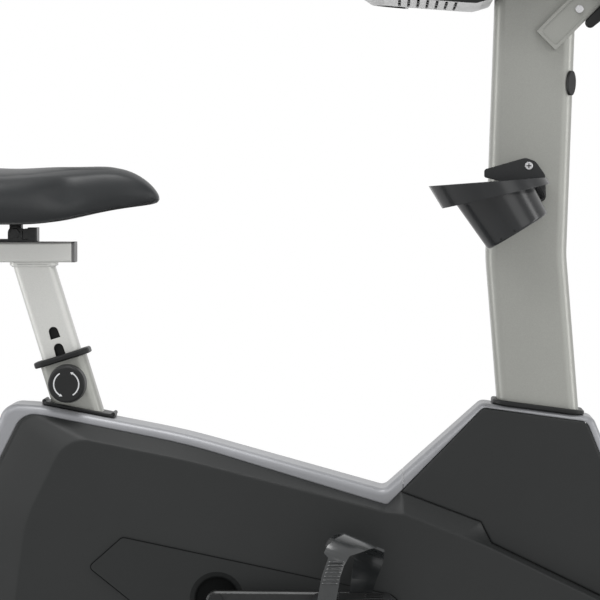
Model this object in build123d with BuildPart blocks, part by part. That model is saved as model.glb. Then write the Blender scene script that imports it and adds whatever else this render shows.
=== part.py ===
from build123d import *
import os
from math import acos, atan2, cos, degrees, hypot, radians, sin, tan

# Upright exercise bike. Millimetres, +X to the front, -Y to the rider's right, floor at Z = 0.
# The origin is on the floor, under the middle of the whole bike.

# Fits
running_gap = 0.05
moving_gap = 0.3
seat_gap = 0.2

# Base
base_length = 1200
base_width = 580
stabilizer_depth = 60
stabilizer_height = 40
stabilizer_wall = 2.5
stabilizer_round = 10
foot_height = 24
foot_radius = 22
foot_pad = 12
foot_stem_radius = 5
foot_stem_length = 20
foot_inset = 50
end_cap_length = 14
wheel_radius = 30
wheel_width = 24
wheel_inset = 95
wheel_lift = 8
wheel_axle_radius = 4
wheel_fork_wall = 5
rail_height = 40
rail_wall = 3
rail_cap = 6

# Housing
shell_half_width = 70
shell_wall = 3
shoulder_start = 46
shell_bottom = 84
trim_half_width = 44
trim_wall = 4
trim_round = 9
trim_seam_x = 131
cover_seam = 0.5
crank_cover_thick = 3
crank_cover_bevel = 1.2
axle_hole_radius = 26.6
axle_bevel_radius = 34
axle_cup_wall = 2
axle_cup_depth = 4
shell_screw_radius = 4.5
shell_screw_height = 2.2

# Crank and pedals
crank_x = -102.5
crank_z = 308.5
crank_length = 170
crank_hub_radius = 12.5
crank_end_radius = 11.5
crank_thick = 16
crank_inside = 84
axle_radius = 10
axle_neck = 7
pedal_width = 92
pedal_length = 96
pedal_height = 24
pedal_spindle_radius = 6
pedal_gap = 6
strap_thick = 3
strap_rise = 80.3
strap_slope = 22.5

# Drive inside the housing
pulley_radius = 100
pulley_width = 16
drive_plane = 52
belt_thick = 4
belt_width = 12
small_pulley_radius = 20
flywheel_x = 108
flywheel_z = 262
flywheel_radius = 122
flywheel_width = 28
flywheel_axle_radius = 8
bracket_post_depth = 30
bracket_post_width = 40
bracket_post_shift = 8
bearing_wall = 6
bearing_width = 12
idler_radius = 15
idler_pin_radius = 5
idler_arm_thick = 5
fly_plate_thick = 6
magnet_gap = 3
magnet_thick = 8
magnet_arm_thick = 12
brake_pin_radius = 4
brake_motor_rise = 312
brake_motor_depth = 38
brake_motor_width = 44
brake_motor_height = 52

# Seat
seat_lean = 17.2
seat_tube_depth = 59
seat_tube_width = 44
seat_tube_wall = 3
seat_tube_top = 604
seat_tube_foot_x = -146
seat_post_depth = 50
seat_post_width = 34
seat_post_wall = 2.5
seat_post_round = 9
seat_post_top = 729
seat_post_inside = 330
seat_hole_pitch = 22
seat_hole_width = 12
seat_hole_height = 15
seat_hole_foot = 13
seat_holes_below = 6
seat_holes_above = 3
collar_depth = 73
collar_width = 58
collar_height = 8
collar_sleeve = 60
boot_x = -281
boot_depth = 94
boot_width = 58
boot_height = 5
boot_ridge = 2.5
knob_radius = 24.5
knob_depth = 20
knob_drop = 28.6
boss_radius = 16
boss_height = 8
pin_radius = 5
pin_travel = 9
slide_tube_height = 26
slide_tube_width = 42
slide_tube_length = 152
slide_tube_wall = 3
slide_cap = 4
slide_slot = 16
slide_knob_radius = 17
slide_knob_depth = 18
weld_plate = 4
weld_plate_length = 60
neck_length = 24
runner_length = 60
lug_width = 24
ear_thick = 5
saddle_foot_thick = 3
saddle_block_start = 16
saddle_block_length = 12
saddle_block_drop = 4
saddle_bolt_radius = 4
pan_thick = 5
pan_gap = 0.8
saddle_travel = 28
saddle_length = 270
saddle_width = 236
saddle_nose_x = -178
saddle_bottom = 777
saddle_top = 848.6
saddle_pivot_x = -361
saddle_pivot_z = 766

# Mast, console and handlebar
mast_depth = 101
mast_width = 70
mast_wall = 3
mast_round = 14
mast_bend_radius = 200
mast_foot_x = 336
mast_bend_x = 285.8
mast_bend_z = 738
mast_top_x = 298
mast_top_z = 1088
gasket_margin = 8
gasket_height = 6
mast_foot_thick = 10
mast_bolt_inset = 11
plug_z = 955
plug_height = 31
plug_width = 14
plug_thick = 4
handlebar_x = 381.2
handlebar_z = 1079.5
handlebar_radius = 15
handlebar_wall = 2
bar_straight = 130
bar_spread = 240
bar_reach = 290
bar_rise = 110
bar_bend_radius = 60
grip_length = 124
grip_thick = 4
arm_reach = 72
arm_width = 34
arm_thick = 12
arm_rim = 4
arm_pocket = 1.5
arm_bolt_radius = 5
lever_offset = 30
lever_reach = 47
lever_thick = 8
lever_pin_radius = 4
cup_x = 272.4
cup_z = 769.6
cup_tilt = 31.5
cup_radius = 43
cup_draft = 4
cup_wall = 3
cup_rim_along = 72
cup_stand_off = 2
rim_slope = 4.2
lip_slope = 13
lip_drop = 20
collar_lip_radius = 65
bracket_thick = 4
console_x = 178
console_z = 1226
console_slope = 57
console_width = 320
console_height = 372
console_thick = 58
console_round = 34
console_wall = 3
rest_half = 118
screen_width = 230
screen_height = 170
screen_rise = 60
key_spread = 55
key_rise = -90
key_width = 70
key_height = 34
key_proud = 3
slot_count = 7
slot_start = 172
slot_pitch = 11.7
slot_length = 92
slot_width = 3.6

os.makedirs("parts", exist_ok=True)

# Places worked out from the driving dimensions
rail_bottom = foot_height + stabilizer_height
rail_top = rail_bottom + rail_height
shell_inside = trim_half_width - trim_wall
rail_width = 2 * (shell_inside - moving_gap)
rear_x = stabilizer_depth / 2 - base_length / 2
wheel_x = base_length / 2 - wheel_radius
front_x = wheel_x - wheel_radius - wheel_lift - stabilizer_depth / 2
foot_y = base_width / 2 - foot_inset
wheel_y = base_width / 2 - wheel_inset


def side_face(points, radii, y):
    """A closed outline in the bike's side plane, at the given distance to the rider's right."""
    with BuildSketch(Plane.XZ.offset(y)) as sketch:
        with BuildLine():
            FilletPolyline(*points, radius=radii, close=True)
        make_face()
    return sketch.sketch


def cross_face(x, z, y, radius):
    """A disc in the side plane, at the given distance to the rider's right."""
    with BuildSketch(Plane.XZ.offset(y)) as sketch:
        with Locations((x, z)):
            Circle(radius)
    return sketch.sketch


def inset(points, distance):
    """The outline with every side moved inwards; points run clockwise as seen from the right."""
    moved = []
    for index, (x, z) in enumerate(points):
        before = points[index - 1]
        after = points[(index + 1) % len(points)]
        in_x, in_z = x - before[0], z - before[1]
        out_x, out_z = after[0] - x, after[1] - z
        in_length, out_length = hypot(in_x, in_z), hypot(out_x, out_z)
        normal_in = (in_z / in_length, -in_x / in_length)
        normal_out = (out_z / out_length, -out_x / out_length)
        share = 1 + normal_in[0] * normal_out[0] + normal_in[1] * normal_out[1]
        step_x = (normal_in[0] + normal_out[0]) / share
        step_z = (normal_in[1] + normal_out[1]) / share
        moved.append((x + distance * step_x, z + distance * step_z))
    return moved


def rounded_tube(plane, depth, width, corner, wall):
    """The ring section of a rectangular tube with rounded corners."""
    with BuildSketch(plane) as sketch:
        RectangleRounded(depth, width, corner)
        RectangleRounded(depth - 2 * wall, width - 2 * wall, corner - wall * 0.6, mode=Mode.SUBTRACT)
    return sketch.sketch


# Base rail between the stabilizers
rail_start = rear_x - stabilizer_depth / 4
rail_end = front_x + stabilizer_depth / 4
with BuildPart() as base_rail:
    with BuildSketch(Plane.YZ.offset(rail_start)) as rail_section:
        with Locations((0, rail_bottom + rail_height / 2)):
            RectangleRounded(rail_width, rail_height, 2 * rail_wall)
            RectangleRounded(
                rail_width - 2 * rail_wall, rail_height - 2 * rail_wall, rail_wall, mode=Mode.SUBTRACT
            )
    extrude(amount=rail_end - rail_start)
base_rail.part.label = "base_rail"
export_step(base_rail.part, "parts/base_rail.step")

# Stabilizers: cross tubes with a threaded boss over each foot, and wheel forks on the front one
stabilizer_z = foot_height + stabilizer_height / 2
tube_length = base_width - 2 * end_cap_length
stem_hole_depth = foot_stem_length + 2
fork_start = front_x + stabilizer_depth / 2
fork_z = wheel_lift + wheel_radius
fork_half = 3 * wheel_axle_radius
wheel_gap = wheel_width / 2 + moving_gap


def fork_face(y):
    """The side view of one wheel fork plate."""
    with BuildSketch(Plane.XZ.offset(y)) as sketch:
        with Locations(((fork_start + wheel_x) / 2, fork_z)):
            Rectangle(wheel_x - fork_start, 2 * fork_half)
        with Locations((wheel_x, fork_z)):
            Circle(fork_half)
            Circle(wheel_axle_radius + running_gap, mode=Mode.SUBTRACT)
    return sketch.sketch


for name, x in (("rear_stabilizer", rear_x), ("front_stabilizer", front_x)):
    with BuildPart() as stabilizer:
        tube_plane = Plane(origin=(x, tube_length / 2, stabilizer_z), x_dir=(1, 0, 0), z_dir=(0, -1, 0))
        tube_ring = rounded_tube(
            tube_plane, stabilizer_depth, stabilizer_height, stabilizer_round, stabilizer_wall
        )
        extrude(tube_ring, amount=tube_length)
        with BuildSketch(Plane.XY.offset(foot_height + stabilizer_wall / 2)) as stem_boss:
            with Locations((x, foot_y), (x, -foot_y)):
                Circle(2.2 * foot_stem_radius)
        extrude(amount=stem_hole_depth)
        with BuildSketch(Plane.XY.offset(foot_height)) as stem_hole:
            with Locations((x, foot_y), (x, -foot_y)):
                Circle(foot_stem_radius + running_gap)
        extrude(amount=stem_hole_depth, mode=Mode.SUBTRACT)
        if name == "front_stabilizer":
            for middle in (wheel_y, -wheel_y):
                extrude(fork_face(middle + wheel_gap), amount=wheel_fork_wall)
                extrude(fork_face(middle - wheel_gap), amount=-wheel_fork_wall)
    stabilizer.part.label = name
    export_step(stabilizer.part, f"parts/{name}.step")

# Push-in end caps of the stabilizers and of the rail
with BuildPart() as end_caps:
    for x in (rear_x, front_x):
        for side in (1, -1):
            cap_plane = Plane(
                origin=(x, side * tube_length / 2, stabilizer_z), x_dir=(1, 0, 0), z_dir=(0, side, 0)
            )
            with BuildSketch(cap_plane) as cap_face:
                RectangleRounded(stabilizer_depth, stabilizer_height, stabilizer_round)
            extrude(amount=end_cap_length, taper=8)
            with BuildSketch(cap_plane) as cap_plug:
                RectangleRounded(
                    stabilizer_depth - 2 * stabilizer_wall - 2 * seat_gap,
                    stabilizer_height - 2 * stabilizer_wall - 2 * seat_gap,
                    stabilizer_round,
                )
            extrude(amount=-end_cap_length)
    for face_x, outward in ((rail_start, -1), (rail_end, 1)):
        with BuildSketch(Plane.YZ.offset(face_x)) as rail_cap_plate:
            with Locations((0, rail_bottom + rail_height / 2)):
                RectangleRounded(rail_width, rail_height, 2 * rail_wall)
        extrude(amount=outward * rail_cap)
        with BuildSketch(Plane.YZ.offset(face_x)) as rail_cap_plug:
            with Locations((0, rail_bottom + rail_height / 2)):
                RectangleRounded(
                    rail_width - 2 * rail_wall - 2 * seat_gap,
                    rail_height - 2 * rail_wall - 2 * seat_gap,
                    rail_wall,
                )
        extrude(amount=-outward * 3 * rail_cap)
end_caps.part.label = "end_caps"
export_step(end_caps.part, "parts/end_caps.step")

# Levelling feet: a rubber pad on a threaded stem
foot_places = {
    "rear_right_foot": (rear_x, -foot_y),
    "rear_left_foot": (rear_x, foot_y),
    "front_right_foot": (front_x, -foot_y),
    "front_left_foot": (front_x, foot_y),
}
for name, (x, y) in foot_places.items():
    with BuildPart() as foot:
        with BuildSketch(Plane.XZ) as foot_half:
            with BuildLine():
                Polyline(
                    (0, 0),
                    (foot_radius - 3, 0),
                    (foot_radius, 3),
                    (foot_radius, foot_pad - 4),
                    (foot_radius - 5, foot_pad),
                    (2 * foot_stem_radius, foot_pad),
                    (2 * foot_stem_radius, foot_height - moving_gap),
                    (foot_stem_radius, foot_height - moving_gap),
                    (foot_stem_radius, foot_height + foot_stem_length),
                    (0, foot_height + foot_stem_length),
                    close=True,
                )
            make_face()
        revolve(axis=Axis.Z)
    foot.part.position = (x, y, 0)
    foot.part.label = name
    export_step(foot.part, f"parts/{name}.step")

# Transport wheels on plain axle bolts
for name, y in (("right_wheel", -wheel_y), ("left_wheel", wheel_y)):
    with BuildPart() as wheel:
        with BuildSketch(Plane.YZ) as wheel_half:
            with BuildLine():
                Polyline(
                    (-wheel_width / 2, wheel_axle_radius + running_gap),
                    (-wheel_width / 2, wheel_radius / 2),
                    (-wheel_width / 3, wheel_radius / 2 + 2),
                    (-wheel_width / 3, wheel_radius - 6),
                    (-wheel_width / 2, wheel_radius - 4),
                    (3 - wheel_width / 2, wheel_radius),
                    (wheel_width / 2 - 3, wheel_radius),
                    (wheel_width / 2, wheel_radius - 4),
                    (wheel_width / 3, wheel_radius - 6),
                    (wheel_width / 3, wheel_radius / 2 + 2),
                    (wheel_width / 2, wheel_radius / 2),
                    (wheel_width / 2, wheel_axle_radius + running_gap),
                    close=True,
                )
            make_face()
        revolve(axis=Axis.Y)
    wheel.part.position = (wheel_x, y, fork_z)
    wheel.part.label = name
    export_step(wheel.part, f"parts/{name}.step")

# Axes of the two posts: the seat tube leans back, the mast has a slight bend
seat_sine, seat_cosine = sin(radians(seat_lean)), cos(radians(seat_lean))
seat_plane = Plane(
    origin=(seat_tube_foot_x, 0, rail_top),
    x_dir=(seat_cosine, 0, seat_sine),
    z_dir=(-seat_sine, 0, seat_cosine),
)
seat_axis = Axis(seat_plane.origin, seat_plane.z_dir)


def along_seat(z):
    """Distance along the seat tube's axis at the given height."""
    return (z - rail_top) / seat_cosine


mast_foot_z = rail_top + mast_foot_thick
mast_foot = Vector(mast_foot_x, 0, mast_foot_z)
mast_bend = Vector(mast_bend_x, 0, mast_bend_z)
mast_top = Vector(mast_top_x, 0, mast_top_z)
mast_up = (mast_bend - mast_foot).normalized()
mast_plane = Plane(
    origin=mast_foot - mast_up * mast_depth / 4, x_dir=mast_up.cross(Vector(0, -1, 0)), z_dir=mast_up
)

# Housing outlines in the side plane, clockwise from the rear foot. The trim band lies between the
# outer and the inner outline; below the inner outline the side shells slope out to the crease.
outer_points = [
    (-455, shell_bottom),
    (-425, 420),
    (-371, 551.2),
    (-329.5, 549.5),
    (-144, 513.8),
    (107, 443.8),
    (229.5, 553.2),
    (370, 535.2),
    (455, 330),
    (490, shell_bottom),
]
outer_radii = [0, 150, 22, 250, 900, 12, 12, 12, 120, 0]
inner_points = [
    (-445, shell_bottom),
    (-413, 412),
    (-349, 539.5),
    (-320, 536),
    (-139.5, 500),
    (111, 424),
    (231.5, 547.2),
    (362, 529.6),
    (443, 330),
    (480, shell_bottom),
]
inner_radii = [0, 150, 25, 250, 900, 6, 10, 12, 120, 0]
seam_points = [(128, 441), (228.7, 403), (241.9, 376.4), (448.6, 276.3)]
rim_points = inner_points[:6] + seam_points + inner_points[9:]
rim_radii = inner_radii[:6] + [0, 0, 0, 0, 0]
crease_points = [
    (-385, shell_bottom),
    (-343, 406.5),
    (-290.6, 513),
    (-256, 505.9),
    (-139, 482),
    (108, 418.5),
    (132.7, 415),
    (203.6, 387.5),
    (240, 373.5),
    (395.6, 298),
    (425, shell_bottom),
]
crease_radii = [0, 150, 40, 250, 900, 6, 0, 0, 0, 0, 0]


def thinner(radii, distance):
    """Corner radii that suit an outline moved inwards."""
    return [max(radius - distance, 1) if radius else 0 for radius in radii]


# Trim band: a channel with rounded shoulders, open below, split at the valley
with BuildPart() as trim_band:
    extrude(side_face(outer_points, outer_radii, 0), amount=trim_half_width, both=True)
    rims = [
        edge
        for face in (faces().sort_by(Axis.Y)[0], faces().sort_by(Axis.Y)[-1])
        for edge in face.edges()
    ]
    fillet([edge for edge in rims if edge.center().Z > shell_bottom + 1], trim_round)
    trim_core = inset(outer_points, trim_wall)
    trim_core_radii = thinner(outer_radii, trim_wall)
    extrude(
        side_face(trim_core, trim_core_radii, 0), amount=shell_inside, both=True, mode=Mode.SUBTRACT
    )
    trim_edge = inset(inner_points, -seat_gap)
    extrude(
        side_face(trim_edge, inner_radii, 0), amount=trim_half_width + 1, both=True, mode=Mode.SUBTRACT
    )
    with BuildSketch(seat_plane) as seat_cut:
        RectangleRounded(
            seat_tube_depth + 2 * seat_gap,
            seat_tube_width + 2 * seat_gap,
            seat_post_round + seat_tube_wall,
        )
    extrude(amount=along_seat(seat_tube_top), mode=Mode.SUBTRACT)
    with BuildSketch(mast_plane) as mast_cut:
        RectangleRounded(mast_depth + 2 * seat_gap, mast_width + 2 * seat_gap, mast_round + seat_gap)
    extrude(amount=(mast_bend - mast_foot).length, mode=Mode.SUBTRACT)
    with BuildSketch(Plane.XY.offset(shell_bottom)) as rail_cut:
        Rectangle(base_length, rail_width + 2 * seat_gap)
    extrude(amount=rail_top + seat_gap - shell_bottom, mode=Mode.SUBTRACT)

with BuildPart() as rear_trim:
    add(trim_band.part)
    split(bisect_by=Plane.YZ.offset(trim_seam_x - cover_seam / 2), keep=Keep.BOTTOM)
rear_trim.part.label = "rear_trim"
export_step(rear_trim.part, "parts/rear_trim.step")

with BuildPart() as front_trim:
    add(trim_band.part)
    split(bisect_by=Plane.YZ.offset(trim_seam_x + cover_seam / 2), keep=Keep.TOP)
front_trim.part.label = "front_trim"
export_step(front_trim.part, "parts/front_trim.step")

# Side shells: a rim under the trim, a sloping shoulder, a flat panel with the axle hole
with BuildPart() as right_shell:
    rim_face = side_face(rim_points, rim_radii, shell_inside)
    extrude(rim_face, amount=shoulder_start - shell_inside)
    loft(
        [
            side_face(rim_points, rim_radii, shoulder_start),
            side_face(crease_points, crease_radii, shell_half_width),
        ],
        ruled=True,
    )
    rim_core = inset(rim_points, shell_wall)
    rim_core_radii = thinner(rim_radii, shell_wall)
    extrude(
        side_face(rim_core, rim_core_radii, shell_inside),
        amount=shoulder_start - shell_inside,
        mode=Mode.SUBTRACT,
    )
    loft(
        [
            side_face(rim_core, rim_core_radii, shoulder_start),
            side_face(
                inset(crease_points, shell_wall),
                thinner(crease_radii, shell_wall),
                shell_half_width - shell_wall,
            ),
        ],
        ruled=True,
        mode=Mode.SUBTRACT,
    )
    with BuildSketch(Plane.XZ.offset(shell_half_width + 1)) as shell_axle_hole:
        with Locations((crank_x, crank_z)):
            Circle(axle_hole_radius + axle_cup_wall + seat_gap)
    extrude(amount=-shell_half_width, mode=Mode.SUBTRACT)
right_shell.part.label = "right_shell"
export_step(right_shell.part, "parts/right_shell.step")

with BuildPart() as left_shell:
    mirror(right_shell.part, about=Plane.XZ)
left_shell.part.label = "left_shell"
export_step(left_shell.part, "parts/left_shell.step")

# Front covers: flat trays between the front trim and the seam of the side shells
front_points = [
    seam_points[0],
    inner_points[6],
    inner_points[7],
    inner_points[8],
    seam_points[3],
    seam_points[2],
    seam_points[1],
]
front_radii = [0, inner_radii[6], inner_radii[7], inner_radii[8], 0, 0, 0]
with BuildPart() as right_front_cover:
    cover_points = inset(front_points, cover_seam)
    extrude(side_face(cover_points, front_radii, shell_inside), amount=shoulder_start - shell_inside)
    tray_points = inset(front_points, cover_seam + shell_wall)
    tray_depth = shoulder_start - shell_inside - shell_wall
    extrude(
        side_face(tray_points, thinner(front_radii, shell_wall), shell_inside),
        amount=tray_depth,
        mode=Mode.SUBTRACT,
    )
    chamfer(faces().sort_by(Axis.Y)[0].edges(), crank_cover_bevel / 2)
right_front_cover.part.label = "right_front_cover"
export_step(right_front_cover.part, "parts/right_front_cover.step")

with BuildPart() as left_front_cover:
    mirror(right_front_cover.part, about=Plane.XZ)
left_front_cover.part.label = "left_front_cover"
export_step(left_front_cover.part, "parts/left_front_cover.step")

# Crank covers: arrow-shaped plates with a sunk cup round the crank axle
arrow_points = [
    (crank_x - 162.3, crank_z + 39.4),
    (crank_x - 119, crank_z + 77.7),
    (crank_x + 220.4, crank_z + 6),
    (crank_x + 267, crank_z - 44),
    (crank_x + 212.5, crank_z - 116),
    (crank_x - 33.5, crank_z - 64),
]
with BuildPart() as right_crank_cover:
    extrude(side_face(arrow_points, [6, 8, 20, 14, 20, 20], shell_half_width), amount=crank_cover_thick)
    chamfer(faces().sort_by(Axis.Y)[0].edges(), crank_cover_bevel)
    cup_floor = shell_half_width - axle_cup_depth
    cup_outer = cross_face(crank_x, crank_z, cup_floor, axle_hole_radius + axle_cup_wall)
    extrude(cup_outer, amount=axle_cup_depth)
    cover_face = shell_half_width + crank_cover_thick
    loft(
        [
            cross_face(crank_x, crank_z, cover_face, axle_bevel_radius),
            cross_face(crank_x, crank_z, cover_face - 2 * crank_cover_bevel, axle_hole_radius),
        ],
        mode=Mode.SUBTRACT,
    )
    extrude(
        cross_face(crank_x, crank_z, cup_floor + axle_cup_wall, axle_hole_radius),
        amount=axle_cup_depth,
        mode=Mode.SUBTRACT,
    )
    extrude(
        cross_face(crank_x, crank_z, cup_floor, axle_radius + 2 * moving_gap),
        amount=axle_cup_depth,
        mode=Mode.SUBTRACT,
    )

with BuildPart() as crank_covers:
    add(right_crank_cover.part)
    mirror(right_crank_cover.part, about=Plane.XZ)
crank_covers.part.label = "crank_covers"
export_step(crank_covers.part, "parts/crank_covers.step")

# Seat tube, welded to the rail, with a guide boss for the lock pin
seat_tube_round = seat_post_round + seat_tube_wall
seat_top_along = along_seat(seat_tube_top)
pin_along = seat_top_along - knob_drop
pin_point = seat_plane.from_local_coords((0, 0, pin_along))
boss_face = seat_tube_width / 2 + boss_height
with BuildPart() as seat_tube:
    tube_start = seat_plane.offset(-seat_tube_depth)
    tube_section = rounded_tube(
        tube_start, seat_tube_depth, seat_tube_width, seat_tube_round, seat_tube_wall
    )
    extrude(tube_section, amount=seat_top_along + seat_tube_depth)
    split(bisect_by=Plane.XY.offset(rail_top), keep=Keep.TOP)
    with BuildSketch(Plane.XZ.offset(seat_tube_width / 2 - seat_tube_wall)) as pin_boss:
        with Locations((pin_point.X, pin_point.Z)):
            Circle(boss_radius)
    extrude(amount=boss_height + seat_tube_wall)
    with BuildSketch(Plane.XZ.offset(seat_tube_width / 2 - 2 * seat_tube_wall)) as pin_hole:
        with Locations((pin_point.X, pin_point.Z)):
            Circle(pin_radius + running_gap)
    extrude(amount=boss_height + 3 * seat_tube_wall, mode=Mode.SUBTRACT)
seat_tube.part.label = "seat_tube"
export_step(seat_tube.part, "parts/seat_tube.step")

# Collar bushing: a flange on the tube's mouth and a sleeve between tube and post
collar_plane = seat_plane.offset(seat_top_along)
with BuildPart() as seat_collar:
    with BuildSketch(collar_plane) as collar_flange:
        RectangleRounded(collar_depth, collar_width, seat_tube_round + 3)
    extrude(amount=collar_height)
    fillet(faces().sort_by(seat_axis)[-1].edges(), collar_height / 3)
    fillet(faces().sort_by(seat_axis)[0].edges(), collar_height / 4)
    with BuildSketch(collar_plane) as sleeve_section:
        RectangleRounded(
            seat_tube_depth - 2 * seat_tube_wall - 2 * seat_gap,
            seat_tube_width - 2 * seat_tube_wall - 2 * seat_gap,
            seat_tube_round - seat_tube_wall * 0.6,
        )
    extrude(amount=-collar_sleeve)
    with BuildSketch(collar_plane.offset(-collar_sleeve)) as post_way:
        RectangleRounded(
            seat_post_depth + 2 * moving_gap, seat_post_width + 2 * moving_gap, seat_post_round
        )
    extrude(amount=collar_sleeve + collar_height, mode=Mode.SUBTRACT)
    with BuildSketch(Plane.XZ) as sleeve_pin_hole:
        with Locations((pin_point.X, pin_point.Z)):
            Circle(pin_radius + moving_gap)
    extrude(amount=seat_tube_width / 2, mode=Mode.SUBTRACT)
seat_collar.part.label = "seat_collar"
export_step(seat_collar.part, "parts/seat_collar.step")

# Boot flange where the seat tube enters the trim
boot_slope = degrees(
    atan2(outer_points[4][1] - outer_points[3][1], outer_points[4][0] - outer_points[3][0])
)
boot_run = (boot_x - outer_points[3][0]) / (outer_points[4][0] - outer_points[3][0])
boot_z = outer_points[3][1] + boot_run * (outer_points[4][1] - outer_points[3][1])
boot_plane = Plane(
    origin=(boot_x, 0, boot_z),
    x_dir=(cos(radians(boot_slope)), 0, sin(radians(boot_slope))),
    z_dir=(-sin(radians(boot_slope)), 0, cos(radians(boot_slope))),
)
with BuildPart() as seat_boot:
    with BuildSketch(boot_plane.offset(seat_gap)) as boot_face:
        RectangleRounded(boot_depth, boot_width, seat_tube_round)
    extrude(amount=boot_height)
    fillet(faces().sort_by(Axis.Z)[-1].edges(), boot_height / 3)
    ridge_half = boot_width / 2 - seat_tube_round / 2
    for end in (1, -1):
        ridge = boot_plane.from_local_coords((end * (boot_depth / 2 - boot_ridge), 0, boot_height))
        extrude(cross_face(ridge.X, ridge.Z, -ridge_half, boot_ridge), amount=2 * ridge_half)
    with BuildSketch(seat_plane) as boot_hole:
        RectangleRounded(
            seat_tube_depth + 2 * seat_gap, seat_tube_width + 2 * seat_gap, seat_tube_round
        )
    extrude(amount=seat_top_along, mode=Mode.SUBTRACT)
seat_boot.part.label = "seat_boot"
export_step(seat_boot.part, "parts/seat_boot.step")

# Seat post with its weld plate and the row of pin holes on the right-hand face
post_top = seat_post_top - weld_plate
hole_arch = seat_hole_height / 2 - seat_hole_width / 2
with BuildPart() as seat_post:
    post_start = seat_plane.offset(seat_top_along - seat_post_inside)
    post_section = rounded_tube(
        post_start, seat_post_depth, seat_post_width, seat_post_round, seat_post_wall
    )
    extrude(
        post_section,
        amount=seat_post_inside + along_seat(seat_post_top) - seat_top_along + seat_post_depth,
    )
    split(bisect_by=Plane.XY.offset(post_top), keep=Keep.BOTTOM)
    post_top_x = seat_tube_foot_x - (post_top - rail_top) * tan(radians(seat_lean))
    with BuildSketch(Plane.XY.offset(post_top)) as plate_face:
        with Locations((post_top_x, 0)):
            RectangleRounded(weld_plate_length, slide_tube_width - 2 * slide_tube_wall, seat_post_round)
    extrude(amount=weld_plate)
    for step in range(-seat_holes_below, seat_holes_above + 1):
        hole_point = seat_plane.from_local_coords((0, 0, pin_along + step * seat_hole_pitch))
        hole_plane = Plane(origin=hole_point, x_dir=seat_plane.z_dir, z_dir=(0, -1, 0))
        with BuildSketch(hole_plane) as post_hole:
            with BuildLine():
                Polyline(
                    (hole_arch, seat_hole_width / 2),
                    (-seat_hole_height / 2, seat_hole_foot / 2),
                    (-seat_hole_height / 2, -seat_hole_foot / 2),
                    (hole_arch, -seat_hole_width / 2),
                )
                ThreePointArc(
                    (hole_arch, -seat_hole_width / 2),
                    (seat_hole_height / 2, 0),
                    (hole_arch, seat_hole_width / 2),
                )
            make_face()
        extrude(amount=seat_post_width, mode=Mode.SUBTRACT)
seat_post.part.label = "seat_post"
export_step(seat_post.part, "parts/seat_post.step")

# Slide tube on the seat post, with a slot for the carriage's neck
slide_z = seat_post_top + slide_tube_height / 2
slide_top = seat_post_top + slide_tube_height
slide_body = slide_tube_length - 2 * slide_cap
with BuildPart() as slide_tube:
    slide_plane = Plane(
        origin=(saddle_pivot_x - slide_body / 2, 0, slide_z), x_dir=(0, 1, 0), z_dir=(1, 0, 0)
    )
    extrude(
        rounded_tube(
            slide_plane, slide_tube_width, slide_tube_height, slide_tube_wall + 1, slide_tube_wall
        ),
        amount=slide_body,
    )
    with BuildSketch(Plane.XY.offset(slide_z)) as neck_slot:
        with Locations((saddle_pivot_x, 0)):
            SlotCenterToCenter(2 * saddle_travel + neck_length, slide_slot)
    extrude(amount=slide_tube_height, mode=Mode.SUBTRACT)
slide_tube.part.label = "slide_tube"
export_step(slide_tube.part, "parts/slide_tube.step")

lock_stem_radius = 4
with BuildPart() as slide_caps:
    for outward in (1, -1):
        cap_x = saddle_pivot_x + outward * slide_body / 2
        with BuildSketch(Plane.YZ.offset(cap_x)) as slide_cap_face:
            with Locations((0, slide_z)):
                RectangleRounded(slide_tube_width, slide_tube_height, slide_tube_wall + 1)
        extrude(amount=outward * slide_cap)
        with BuildSketch(Plane.YZ.offset(cap_x)) as slide_cap_plug:
            with Locations((0, slide_z)):
                Rectangle(
                    slide_tube_width - 2 * slide_tube_wall - 2 * slide_cap,
                    slide_tube_height - 2 * slide_tube_wall - 4 * seat_gap,
                )
        extrude(amount=-outward * slide_cap)
    with BuildSketch(Plane.YZ.offset(saddle_pivot_x - slide_tube_length / 2 - slide_cap)) as stem_way:
        with Locations((0, slide_z)):
            Circle(lock_stem_radius + running_gap)
    extrude(amount=4 * slide_cap, mode=Mode.SUBTRACT)
slide_caps.part.label = "slide_caps"
export_step(slide_caps.part, "parts/slide_caps.step")

with BuildPart() as slide_knob:
    knob_plane = Plane.YZ.offset(saddle_pivot_x - slide_tube_length / 2 - moving_gap)
    with BuildSketch(knob_plane) as lobed_knob:
        with Locations((0, slide_z)):
            Circle(slide_knob_radius)
            with PolarLocations(1.05 * slide_knob_radius, 8):
                Circle(0.2 * slide_knob_radius, mode=Mode.SUBTRACT)
    extrude(amount=-slide_knob_depth)
    with BuildSketch(knob_plane) as lock_stem:
        with Locations((0, slide_z)):
            Circle(lock_stem_radius)
    extrude(amount=3 * slide_cap)
slide_knob.part.label = "slide_knob"
export_step(slide_knob.part, "parts/slide_knob.step")

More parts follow.
